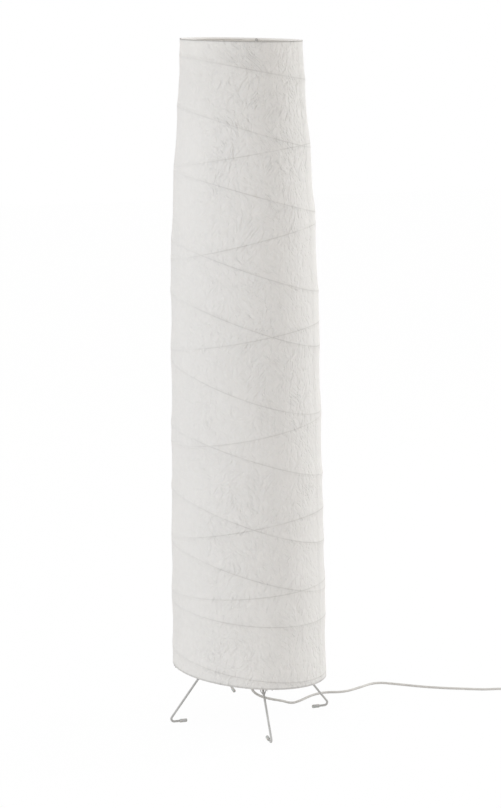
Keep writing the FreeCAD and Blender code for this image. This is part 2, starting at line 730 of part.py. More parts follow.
def rounded_block(label, length, width, height, corner, lift="0"):
    """A padded rectangle about the body's own axis, with rounded upright edges."""
    body = new_body(label)
    outline = [
        (f"-({length}) / 2", f"-({width}) / 2"), (f"({length}) / 2", f"-({width}) / 2"),
        (f"({length}) / 2", f"({width}) / 2"), (f"-({length}) / 2", f"({width}) / 2"),
    ]
    sketch = outline_sketch(body, f"{label}_outline", "XY_Plane", outline, lift)
    pad(body, f"{label}_pad", sketch, height)
    round_upright_edges(body, f"{label}_corners", corner)
    return sub_part(body, label)


def make_relief(label, x, y, z, azimuth):
    """A tapered strain relief that points along an azimuth, away from the piece it guards."""
    taper = [("relief_root_radius", "0"), ("relief_nose_radius", "relief_length")]
    cone = tapered(label, taper, WIRE_SIDES)
    lie = Rotation(UP, azimuth).multiply(Rotation(Vector(0, 1, 0), 90))
    cone.Placement = Placement(Vector(x, y, z), lie)
    return sub_part(cone, label)


def make_switch():
    """The rocker switch on the cord: two halves, a rocker and a relief at each end."""
    place = {"x": size("switch_x"), "y": size("switch_y"), "azimuth": size("switch_azimuth")}
    base = rounded_block(
        "switch_base", "switch_length", "switch_width", "switch_base_height", "switch_corner"
    )
    turned(base, **place)
    cover = rounded_block(
        "switch_cover", "switch_length", "switch_width", "switch_cover_height", "switch_corner",
        "switch_base_height",
    )
    half_long = "(rocker_half_length + rocker_end_clearance)"
    half_wide = "(rocker_width / 2 + rocker_side_clearance)"
    slot = outline_sketch(cover, "switch_slot", "XY_Plane", [
        (f"-{half_long}", f"-{half_wide}"), (half_long, f"-{half_wide}"),
        (half_long, half_wide), (f"-{half_long}", half_wide),
    ], "switch_base_height")
    pocket(cover, "switch_slot_pocket", slot)
    socket = "trunnion_radius + trunnion_clearance"
    reach = "rocker_width + 2 * (rocker_side_clearance + trunnion_length)"
    seats = axle_sketch(cover, "trunnion_seats", socket, "rocker_pivot_height")
    pocket(cover, "trunnion_seat_pocket", seats, f"{reach} + 2 * trunnion_clearance")
    turned(cover, **place)

    rocker = new_body("switch_rocker")
    outline = outline_sketch(rocker, "rocker_outline", "XZ_Plane", [
        ("-rocker_foot", "-rocker_drop"), ("rocker_foot", "-rocker_drop"),
        ("rocker_half_length", "0 - rocker_drop / 3"), ("rocker_half_length", "rocker_crown"),
        ("0", "rocker_rise"), ("-rocker_half_length", "rocker_crown"),
        ("-rocker_half_length", "0 - rocker_drop / 3"),
    ])
    pad(rocker, "rocker_pad", outline, "rocker_width").Midplane = True
    trunnions = axle_sketch(rocker, "rocker_trunnions", "trunnion_radius")
    pad(rocker, "rocker_trunnion_pad", trunnions, reach).Midplane = True
    spin = Rotation(UP, size("switch_azimuth"))
    tilt = Rotation(Vector(0, 1, 0), -size("rocker_tilt"))
    pivot = Vector(size("switch_x"), size("switch_y"), size("rocker_pivot_height"))
    rocker.Placement = Placement(pivot, spin.multiply(tilt))
    sub_part(rocker, "switch_rocker")

    along = Rotation(UP, size("switch_azimuth")).multVec(Vector(size("switch_length") / 2, 0, 0))
    for label, way, azimuth in (("switch_relief_in", -1, 180.0), ("switch_relief_out", 1, 0.0)):
        x, y = size("switch_x") + way * along.x, size("switch_y") + way * along.y
        make_relief(label, x, y, size("switch_base_height"), size("switch_azimuth") + azimuth)


def make_plug():
    """A flat two-pin plug that lies on the floor beyond the coil."""
    body = new_body("plug_body")
    tail, face = "relief_length", "relief_length + plug_length"
    outline = [
        (tail, "-plug_tail_width / 2"), (f"{face} - plug_shoulder", "-plug_width / 2"),
        (face, "-plug_width / 2"), (face, "plug_width / 2"),
        (f"{face} - plug_shoulder", "plug_width / 2"), (tail, "plug_tail_width / 2"),
    ]
    pad(body, "plug_pad", outline_sketch(body, "plug_outline", "XY_Plane", outline), "plug_height")
    round_upright_edges(body, "plug_corners", "plug_corner")
    x, y, azimuth = size("plug_x"), size("plug_y"), size("plug_azimuth")
    turned(sub_part(body, "plug_body"), x, y, 0.0, azimuth)

    pins = []
    for side in (-1, 1):
        pin = primitive("Cylinder", f"pin_{len(pins)}", Radius="pin_radius", Height="pin_length")
        start = Vector(value(face), side * size("pin_spacing") / 2, size("plug_height") / 2)
        pin.Placement = Placement(start, Rotation(Vector(0, 1, 0), 90))
        pins.append(pin)
    pair = doc.addObject("Part::Compound", "plug_pins_pair")
    pair.Links = pins
    turned(sub_part(pair, "plug_pins"), x, y, 0.0, azimuth)
    end = Vector(x, y, 0) + Rotation(UP, azimuth).multVec(Vector(value(tail), 0, 0))
    make_relief("plug_relief", end.x, end.y, size("plug_height") / 2, azimuth + 180.0)


# ---------------------------------------------------------------- cord


def coil_path():
    """A spiral of half turns: in along the low layer, up one layer, and out along the high one."""
    x, y = size("coil_start_x"), size("coil_start_y")
    low = size("coil_lift") + size("cord_diameter") / 2
    high = low + size("coil_layer_rise")
    run, step = size("coil_end_run"), size("coil_pitch") / 2
    edges = [Part.LineSegment(Vector(x, y - run, low), Vector(x, y, low)).toShape()]
    radius, way = size("coil_first_radius"), 1
    for _ in range(COIL_HALF_TURNS_LOW):
        middle, end = Vector(x - way * radius, y + way * radius, low), x - 2 * way * radius
        edges.append(Part.Arc(Vector(x, y, low), middle, Vector(end, y, low)).toShape())
        x, way, radius = end, -way, radius - step
    bulge = math.hypot(radius, (high - low) / 2)
    summit = Vector(x - way * radius, y + way * bulge, (low + high) / 2)
    end = x - 2 * way * radius
    for start, finish, flat in ((x, summit, low), (end, summit, high)):
        centre = Vector(x - way * radius, y, (low + high) / 2)
        corner = Vector(start, y, flat)
        toward = (corner - centre) + (finish - centre)
        middle = centre + toward.normalize() * bulge
        arc = (corner, middle, finish) if flat == low else (finish, middle, corner)
        edges.append(Part.Arc(*arc).toShape())
    x, way = end, -way
    for _ in range(COIL_HALF_TURNS_HIGH):
        radius += step
        middle, end = Vector(x - way * radius, y + way * radius, high), x - 2 * way * radius
        edges.append(Part.Arc(Vector(x, y, high), middle, Vector(end, y, high)).toShape())
        x, way = end, -way
    edges.append(Part.LineSegment(Vector(x, y, high), Vector(x, y + run, high)).toShape())
    return Part.Wire(edges)


def least_gap(path):
    """The least clear distance of a coiled cord to itself, on points along its middle."""
    points = path.discretize(Distance=GAP_STEP)
    apart = int(GAP_APART * size("cord_diameter") / GAP_STEP)
    nearest = min(
        (a - b).Length for i, a in enumerate(points) for b in points[i + apart:]
    )
    return nearest - size("cord_diameter")


def make_coil():
    """The put-away length of cord and the tie that holds its turns."""
    path = coil_path()
    start = Vector(size("coil_start_x"), size("coil_start_y") - size("coil_end_run"),
                   size("coil_lift") + size("cord_diameter") / 2)
    feature("cord_coil", cord_solid(path, start, Vector(0, 1, 0)))
    print(f"cord_coil: length {path.Length:.1f}, least gap to itself {least_gap(path):.2f}")

    radius, clear = size("cord_diameter") / 2, size("tie_clearance")
    first, pitch = size("coil_first_radius"), size("coil_pitch")
    outside = size("coil_start_x") - 2 * first - radius - clear
    inside = outside + 2 * pitch + 2 * (radius + clear)
    top = size("coil_lift") + 2 * radius + size("coil_layer_rise") + clear
    thick, width = size("tie_thickness"), size("tie_width")
    middle = size("coil_start_y")
    band = Part.makeBox(
        inside - outside + 2 * thick, width, top + thick, Vector(outside - thick, middle - width / 2, 0)
    )
    gap = Part.makeBox(
        inside - outside, width, top - thick, Vector(outside, middle - width / 2, thick)
    )
    feature("coil_tie", band.cut(gap))


# ---------------------------------------------------------------- build, check and write

make_shade()
make_legs()
make_ring_tabs()
make_uprights()
make_hub()
make_lamp_holder()
make_bulb()
make_switch()
make_plug()
free_cord("cord_free", CORD_ROUTE)
free_cord("cord_middle", MIDDLE_ROUTE)
free_cord("cord_end", END_ROUTE)
make_coil()
doc.recompute()

for thing in doc.Objects:
    if "Invalid" in thing.State or "Error" in thing.State:
        raise RuntimeError(f"{thing.Label} did not recompute: {thing.State}")
for part in sub_parts:
    if part.Shape.isNull() or not part.Shape.isValid() or not part.Shape.Solids:
        raise RuntimeError(f"{part.Label} has no valid solid")

os.makedirs("parts", exist_ok=True)
for part in sub_parts:
    part.Shape.exportStep(f"parts/{part.Label}.step")
print(f"{len(sub_parts)} sub-parts, {sum(len(part.Shape.Solids) for part in sub_parts)} solids")
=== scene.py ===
import logging
import math
from contextlib import contextmanager
from dataclasses import dataclass
from enum import Enum
from functools import cache, reduce
from typing import Any, Callable, Iterator, Sequence

import bpy
import numpy as np
from mathutils import Matrix, Vector, noise


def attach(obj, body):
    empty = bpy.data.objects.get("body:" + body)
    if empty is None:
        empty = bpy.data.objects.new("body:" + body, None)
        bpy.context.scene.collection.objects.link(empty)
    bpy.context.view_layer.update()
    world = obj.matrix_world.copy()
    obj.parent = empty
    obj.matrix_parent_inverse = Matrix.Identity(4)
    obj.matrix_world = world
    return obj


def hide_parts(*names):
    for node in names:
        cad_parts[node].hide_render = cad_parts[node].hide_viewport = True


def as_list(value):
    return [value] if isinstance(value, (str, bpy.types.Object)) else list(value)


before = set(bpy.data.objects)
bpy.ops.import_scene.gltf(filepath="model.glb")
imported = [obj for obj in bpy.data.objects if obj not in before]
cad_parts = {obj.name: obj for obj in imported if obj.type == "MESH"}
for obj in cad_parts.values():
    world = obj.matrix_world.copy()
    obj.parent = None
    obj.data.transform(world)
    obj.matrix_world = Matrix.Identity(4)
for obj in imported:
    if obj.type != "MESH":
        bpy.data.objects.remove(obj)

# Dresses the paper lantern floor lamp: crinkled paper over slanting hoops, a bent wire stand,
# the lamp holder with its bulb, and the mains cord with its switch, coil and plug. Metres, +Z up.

LOG = logging.getLogger("paper_lantern")
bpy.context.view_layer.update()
MM = 0.001
WELD = 1e-6
Pair = tuple[float, float]
Point = tuple[float, float, float]
Colour = tuple[float, float, float]
Piece = bpy.types.Object
Material = bpy.types.Material
WHITE: Colour = (1.0, 1.0, 1.0)


class Side(Enum):
    """The four legs by the azimuth they stand at, in degrees."""

    RIGHT = 0.0
    BACK = 90.0
    LEFT = 180.0
    FRONT = 270.0

    @property
    def word(self) -> str:
        """The side as the pieces' names give it."""
        return self.name.lower()


class Body(Enum):
    """The rigid bodies of the lamp."""

    STAND = "stand"
    SHADE = "shade"
    BULB_SHIFT = "bulb_shift"
    BULB = "bulb"
    ROCKER = "rocker"


# ------------------------------------------------------------------ shader graphs


class Sock:
    """A shader socket that takes part in Python arithmetic."""

    def __init__(self, graph: "Graph", socket: bpy.types.NodeSocket) -> None:
        """Wraps an output socket.

        Args:
            graph: The graph that the socket belongs to.
            socket: The output socket.
        """
        self.graph = graph
        self.socket = socket

    def math(self, operation: str, *others: "Sock | float", first: bool = True) -> "Sock":
        """Adds a Math node on this socket.

        Args:
            operation: The Math node's operation.
            others: The other operands.
            first: Whether this socket is the first operand.

        Returns:
            The node's result.
        """
        operands = [self, *others] if first else [*others, self]
        return self.graph.node("ShaderNodeMath", {"operation": operation}, dict(enumerate(operands)))

    def __add__(self, other: "Sock | float") -> "Sock":
        """Sum."""
        return self.math("ADD", other)

    __radd__ = __add__

    def __sub__(self, other: "Sock | float") -> "Sock":
        """Difference."""
        return self.math("SUBTRACT", other)

    def __rsub__(self, other: "Sock | float") -> "Sock":
        """Difference from a number."""
        return self.math("SUBTRACT", other, first=False)

    def __mul__(self, other: "Sock | float") -> "Sock":
        """Product."""
        return self.math("MULTIPLY", other)

    __rmul__ = __mul__

    def __abs__(self) -> "Sock":
        """Absolute value."""
        return self.math("ABSOLUTE")

    def least(self, other: "Sock | float") -> "Sock":
        """The smaller of two values."""
        return self.math("MINIMUM", other)

    def most(self, other: "Sock | float") -> "Sock":
        """The larger of two values."""
        return self.math("MAXIMUM", other)

    def ease(self, low: float, high: float, start: float = 0.0, end: float = 1.0) -> "Sock":
        """A smooth step.

        Args:
            low: The value at which the step starts.
            high: The value at which it ends.
            start: The result below low.
            end: The result above high.

        Returns:
            The step.
        """
        return self.graph.node(
            "ShaderNodeMapRange",
            {"interpolation_type": "SMOOTHSTEP"},
            {"Value": self, "From Min": low, "From Max": high, "To Min": start, "To Max": end},
        )

    def dot(self, direction: Point) -> "Sock":
        """The vector's length along a fixed direction."""
        return self.graph.node(
            "ShaderNodeVectorMath", {"operation": "DOT_PRODUCT"}, {0: self, 1: direction}, "Value"
        )

    def stretch(self, factors: Point) -> "Sock":
        """The vector with each part multiplied."""
        return self.graph.node("ShaderNodeVectorMath", {"operation": "MULTIPLY"}, {0: self, 1: factors})


class Graph:
    """The node tree of one material or of the world.

    The Mix node has a set of sockets for each kind of value: MIX_IN and MIX_OUT are those for colours.
    """

    MIX_IN = (0, 6, 7)
    MIX_OUT = 2

    def __init__(self, name: str, kind: str = "materials") -> None:
        """Starts an empty tree.

        Args:
            name: The owner's name.
            kind: The part of Blender's data that the owner is listed in.
        """
        self.owner = getattr(bpy.data, kind).new(name)
        self.owner.use_nodes = True
        self.tree = self.owner.node_tree
        self.tree.nodes.clear()

    def node(
        self, kind: str, settings: dict[str, Any], inputs: dict[Any, Any], output: Any = 0
    ) -> Sock:
        """Adds a node.

        Args:
            kind: The node's type.
            settings: Properties that are set before the sockets.
            inputs: Values or links, by socket name or number.
            output: The output socket's name or number.

        Returns:
            The chosen output, wrapped.
        """
        node = self.tree.nodes.new(kind)
        for key, setting in settings.items():
            setattr(node, key, setting)
        for key, given in inputs.items():
            if isinstance(given, Sock):
                self.tree.links.new(given.socket, node.inputs[key])
            elif isinstance(given, tuple) and node.inputs[key].type == "RGBA":
                node.inputs[key].default_value = (*given, 1.0)
            else:
                node.inputs[key].default_value = given
        return Sock(self, node.outputs[output])

    def place(self) -> Sock:
        """The point on the object, in metres."""
        return self.node("ShaderNodeTexCoord", {}, {}, "Object")

    def attribute(self, name: str) -> Sock:
        """A number stored on the piece's points."""
        return self.node("ShaderNodeAttribute", {"attribute_name": name}, {}, "Fac")

    def noise(self, point: Sock, scale: float, detail: float = 3.0, roughness: float = 0.5) -> Sock:
        """Smooth noise from 0 to 1.

        Args:
            point: The coordinates.
            scale: Waves per metre.
            detail: Octaves.
            roughness: The share that each octave keeps.

        Returns:
            The noise value.
        """
        values = {"Vector": point, "Scale": scale, "Detail": detail, "Roughness": roughness}
        return self.node("ShaderNodeTexNoise", {}, values)

    def cells(self, point: Sock, scale: float) -> Sock:
        """The distance to the nearest edge between cells."""
        settings = {"feature": "DISTANCE_TO_EDGE"}
        return self.node("ShaderNodeTexVoronoi", settings, {"Vector": point, "Scale": scale})

    def vector(self, *parts: Sock) -> Sock:
        """A vector from three numbers."""
        return self.node("ShaderNodeCombineXYZ", {}, dict(enumerate(parts)))

    def mix(self, factor: Sock | float, first: Sock | Colour, second: Sock | Colour) -> Sock:
        """A blend of two colours."""
        values = dict(zip(self.MIX_IN, (factor, first, second)))
        return self.node("ShaderNodeMix", {"data_type": "RGBA"}, values, self.MIX_OUT)

    def bump(self, height: Sock, distance: float, strength: float = 1.0) -> Sock:
        """A normal from a height from 0 to 1 that stands for a distance in metres."""
        return self.node(
            "ShaderNodeBump", {}, {"Height": height, "Distance": distance, "Strength": strength}
        )

    def seen(self, *rays: str) -> Sock:
        """1 where the light path is of one of the named kinds, or else 0."""
        kinds = (self.node("ShaderNodeLightPath", {}, {}, f"Is {ray} Ray") for ray in rays)
        return reduce(Sock.most, kinds)

    def blend(self, share: Sock | float, first: Sock, second: Sock) -> Sock:
        """A share of a second shader mixed into a first one."""
        return self.node("ShaderNodeMixShader", {}, {0: share, 1: first, 2: second})

    def finish(self, shader: Sock, output: str = "ShaderNodeOutputMaterial") -> Any:
        """Closes the tree.

        Args:
            shader: What the surface shows.
            output: The output node's type.

        Returns:
            The material or world that the tree belongs to.
        """
        end = self.tree.nodes.new(output)
        self.tree.links.new(shader.socket, end.inputs["Surface"])
        return self.owner


# ------------------------------------------------------------------ finishes


@dataclass(frozen=True)
class PaperFinish:
    """White mulberry paper, crinkled on its way round the hoops, with their lines painted on as shade.

    The scales are in waves per metre, and the shares say how much each form adds to the relief.

    Attributes:
        hoops: The ribs along whose planes the painted shade lines run.
        rims: The end rings, under the hems.
        seam: The azimuth of the glued seam, in degrees.
        front: The way that the side faces where the painted shade lines are darkest and the relief is
            deepest; both fade on the far side.
    """

    hoops: tuple["Hoop", ...]
    rims: tuple["Hoop", "Hoop"]
    seam: float
    slot: str = "paper"
    front: Point = (0.34, -0.94, 0.0)
    lit: Colour = (0.834, 0.827, 0.824)
    shade: Colour = (0.798, 0.789, 0.783)
    # The grey of the painted shade along the hoops and over the top, and of the glued seam.
    line: Colour = (0.46, 0.45, 0.435)
    # The grey of the painted shade along the hems.
    hem_shade: Colour = (0.42, 0.41, 0.395)
    # The inner face's lighter colour: painted light, standing for light coming through the paper.
    inside: Colour = (0.93, 0.92, 0.91)
    glow: Colour = (0.88, 0.85, 0.80)
    see_through: float = 0.32
    # How dark the painted shade lines along the hoops are.
    rib_shade_strength: float = 0.46
    seam_strength: float = 0.1
    # How strongly the top of the paper is darkened with painted shade.
    top_shade_strength: float = 0.16
    seam_half: float = 5.0 * MM
    relief: float = 4.6 * MM
    long_waves: Point = (1.0, 1.0, 0.5)
    crinkle_scale: float = 150.0
    crinkle_share: float = 0.34
    fold_scale: float = 62.0
    fold_share: float = 0.1
    crease_scale: float = 78.0
    crease_share: float = 0.14
    slant_scale: float = 108.0
    slant_share: float = 0.2
    slant_lean: float = 0.8
    fibre_scale: float = 420.0
    fibre_share: float = 0.05
    ridge_share: float = 0.18
    seam_share: float = 0.12

    @cache
    def make(self) -> Material:
        """Builds the paper material.

        Returns:
            The material.
        """
        graph = Graph("crinkled_paper")
        place = graph.place()
        stretched = place.stretch(self.long_waves)
        bent = self.bent(graph, place)
        shade_and_relief_side = place.dot(self.front).ease(-0.01, 0.115, 0.09, 1.0)
        upward = place.dot((0.0, 0.0, 1.0))
        nearest = self.nearest(place)
        seam = self.overlap(place)
        crinkle = graph.noise(bent.stretch(self.long_waves), self.crinkle_scale)
        fibre = graph.noise(stretched, self.fibre_scale, 2.0, 0.6)

        patchy = graph.noise(place, 14.0, 1.0).ease(0.3, 0.6)
        # Painted shade: the paper darkened along each hoop's plane, in patches, most on the front side.
        line = nearest.ease(0.4 * MM, 1.4 * MM, 1.0, 0.0) * ((0.45 + 0.55 * patchy) * shade_and_relief_side)
        tone = (0.55 * crinkle + 0.45 * fibre).ease(0.3, 0.7)
        paper = graph.mix(tone, self.shade, self.lit)
        paper = graph.mix(seam * self.seam_strength, paper, self.line)
        paper = graph.mix(line * self.rib_shade_strength, paper, self.line)
        # Painted shade: the paper darkened towards its top rim.
        paper = graph.mix(upward.ease(1.15, 1.34) * self.top_shade_strength, paper, self.line)
        # Painted light: the inner face made lighter.
        paper = graph.mix(graph.attribute("inner"), paper, self.inside)
        # Painted shade along the hems at both rims.
        paper = graph.mix(self.hem_shading(place), paper, self.hem_shade)

        fold = graph.noise(bent.stretch((1.0, 1.0, 0.42)), self.fold_scale, 2.0)
        ripple = (1.0 - abs(fold - 0.5) * 7.0).most(0.0)
        creases = graph.cells(bent.stretch(self.long_waves), self.crease_scale).ease(0.0, 0.18)
        veer = graph.noise(place.stretch((1.0, 1.0, 0.6)), 22.0, 1.0).ease(0.42, 0.58)
        leaning, backward = (self.slant(graph, bent, lean) for lean in (self.slant_lean, -self.slant_lean))
        slanting = leaning * veer + backward * (1.0 - veer)
        patch = graph.noise(stretched, 9.0, 1.0).ease(0.34, 0.62)
        busy = upward.ease(0.9, 1.2) * shade_and_relief_side * shade_and_relief_side
        ridge = nearest.ease(0.0, 6.0 * MM, 1.0, 0.0)
        height = self.crinkle_share * crinkle + self.fold_share * ripple
        height = height + self.crease_share * creases + self.slant_share * slanting
        height = height * (0.66 + 0.34 * patch) * (0.46 + 0.54 * shade_and_relief_side) * (1.0 + 0.38 * busy)
        height = height + self.fibre_share * fibre + self.ridge_share * ridge + self.seam_share * seam
        relief = graph.bump(height, self.relief, 1.0)

        values = {"Base Color": paper, "Roughness": 0.82, "Specular IOR Level": 0.3, "Normal": relief}
        sheet = graph.node("ShaderNodeBsdfPrincipled", {}, values)
        through = graph.node("ShaderNodeBsdfTranslucent", {}, {"Color": self.glow, "Normal": relief})
        return graph.finish(graph.blend(self.see_through, sheet, through))

    @staticmethod
    def bent(graph: Graph, place: Sock) -> Sock:
        """The coordinates, moved about by a slow noise so that no crease runs straight.

        Args:
            graph: The paper's node tree.
            place: The coordinates.

        Returns:
            The moved coordinates.
        """
        wander = graph.noise(place, 16.0, 2.0) * 0.02
        drift = graph.vector(wander, wander * -0.7, wander * 1.5)
        return graph.node("ShaderNodeVectorMath", {"operation": "ADD"}, {0: place, 1: drift})

    def slant(self, graph: Graph, place: Sock, lean: float) -> Sock:
        """Crisp creases that lean one way over the front and the back.

        Args:
            graph: The paper's node tree.
            place: The coordinates.
            lean: How far the creases lean, and to which side.

        Returns:
            The creases' height, from 0 to 1.
        """
        across, along = place.dot((1.0, 0.0, lean)), place.dot((0.0, 1.0, 0.25 * lean))
        sheared = graph.vector(across, along, place.dot((0.0, 0.0, 0.2)))
        return (1.0 - abs(graph.noise(sheared, self.slant_scale, 2.0) - 0.5) * 6.0).most(0.0)

    def nearest(self, place: Sock) -> Sock:
        """The upright distance to the nearest hoop's plane."""
        return reduce(Sock.least, [abs(place.dot(hoop.normal()) - hoop.height) for hoop in self.hoops])

    def hem_shading(self, place: Sock) -> Sock:
        """Painted shade along the hems, where the paper is turned over the end rings.

        Args:
            place: The coordinates.

        Returns:
            The painted shade's strength: most over the top ring, less under the bottom one.
        """
        top, bottom = self.rims
        over = place.dot(top.normal()) - top.height
        under = bottom.height - place.dot(bottom.normal())
        return (over.ease(-0.6 * MM, 0.1 * MM) * 0.85).most(under.ease(-2.2 * MM, -0.4 * MM) * 0.42)

    def overlap(self, place: Sock) -> Sock:
        """The upright strip where the paper's ends are glued over each other.

        Args:
            place: The coordinates.

        Returns:
            1 on the strip and 0 beside it.
        """
        turn = math.radians(self.seam)
        beside = abs(place.dot((-math.sin(turn), math.cos(turn), 0.0)))
        outward = place.dot((math.cos(turn), math.sin(turn), 0.0))
        return beside.ease(self.seam_half, self.seam_half + 0.6 * MM, 1.0, 0.0) * outward.ease(0.0, 0.02)


@dataclass(frozen=True)
class Finish:
    """A moulded, painted or metal surface with mottling, fine texture and wear."""

    name: str
    slot: str
    colour: Colour
    worn: Colour
    roughness: float
    metallic: float = 0.0
    coat: float = 0.0
    grain: float = 900.0
    depth: float = 0.06
    mottle: float = 60.0
    squash: Point = (1.0, 1.0, 1.0)
    glow: float = 0.0

    @cache
    def make(self) -> Material:
        """Builds the material of this finish, once.

        Returns:
            The material.
        """
        graph = Graph(self.name)
        place = graph.place().stretch(self.squash)
        mottle = graph.noise(place, self.mottle, 3.0, 0.55)
        grain = graph.noise(place, self.grain, 3.0, 0.6)
        dust = (0.6 * mottle + 0.4 * grain).ease(0.35, 0.72)
        colour = graph.mix(dust, self.colour, self.worn)
        rough = self.roughness + 0.12 * (mottle - 0.5) + 0.10 * (grain - 0.5)
        relief = graph.bump(grain + 0.6 * mottle, self.depth * MM, 0.7)
        values = {
            "Base Color": colour,
            "Roughness": rough,
            "Metallic": self.metallic,
            "Coat Weight": self.coat,
            "Coat Roughness": 0.25,
            "Subsurface Weight": self.glow,
            "Subsurface Scale": 0.002,
            "Normal": relief,
        }
        return graph.finish(graph.node("ShaderNodeBsdfPrincipled", {}, values))


BAMBOO = Finish("split_bamboo", "bamboo", (0.56, 0.45, 0.28), (0.66, 0.56, 0.38), 0.55, grain=700.0,
                mottle=90.0, squash=(1.0, 1.0, 5.0))
PAINTED_WIRE = Finish("white_painted_steel", "white_steel", (0.47, 0.465, 0.455), (0.39, 0.385, 0.375), 0.42,
                      coat=0.15, depth=0.03)
RIM_STRIP = Finish("rim_strip", "white_steel", (0.90, 0.885, 0.865), (0.86, 0.84, 0.82), 0.6, depth=0.04)
ZINC = Finish("zinc_plated_steel", "zinc_steel", (0.62, 0.63, 0.64), (0.48, 0.48, 0.47), 0.36, metallic=1.0,
              depth=0.02)
CAP_RUBBER = Finish("clear_soft_cap", "soft_plastic", (0.52, 0.52, 0.50), (0.44, 0.44, 0.42), 0.5, depth=0.05,
                    glow=0.1)
CORD_SLEEVE = Finish("cord_sleeve", "soft_plastic", (0.60, 0.585, 0.562), (0.53, 0.517, 0.495), 0.55,
                     depth=0.05)
MOULDED = Finish("white_moulding", "white_plastic", (0.74, 0.73, 0.71), (0.66, 0.65, 0.62), 0.34, coat=0.1,
                 depth=0.02)
HOLDER_MOULDING = Finish("holder_moulding", "holder_plastic", (0.72, 0.71, 0.69), (0.64, 0.63, 0.60), 0.55,
                         depth=0.05)
GLAZED_BLOCK = Finish("ceramic_block", "ceramic", (0.80, 0.78, 0.73), (0.72, 0.70, 0.65), 0.25, coat=0.4,
                      depth=0.02)
BRASS = Finish("brass_contact", "brass", (0.78, 0.58, 0.28), (0.60, 0.43, 0.20), 0.3, metallic=1.0,
               depth=0.02)
NICKEL = Finish("nickel_cap", "nickel", (0.74, 0.72, 0.69), (0.58, 0.57, 0.55), 0.24, metallic=1.0,
                depth=0.02)
OPAL = Finish("opal_glass", "opal_glass", (0.86, 0.86, 0.84), (0.82, 0.82, 0.80), 0.18, coat=0.5, depth=0.005,
              glow=0.3)


# ------------------------------------------------------------------ modelling bench


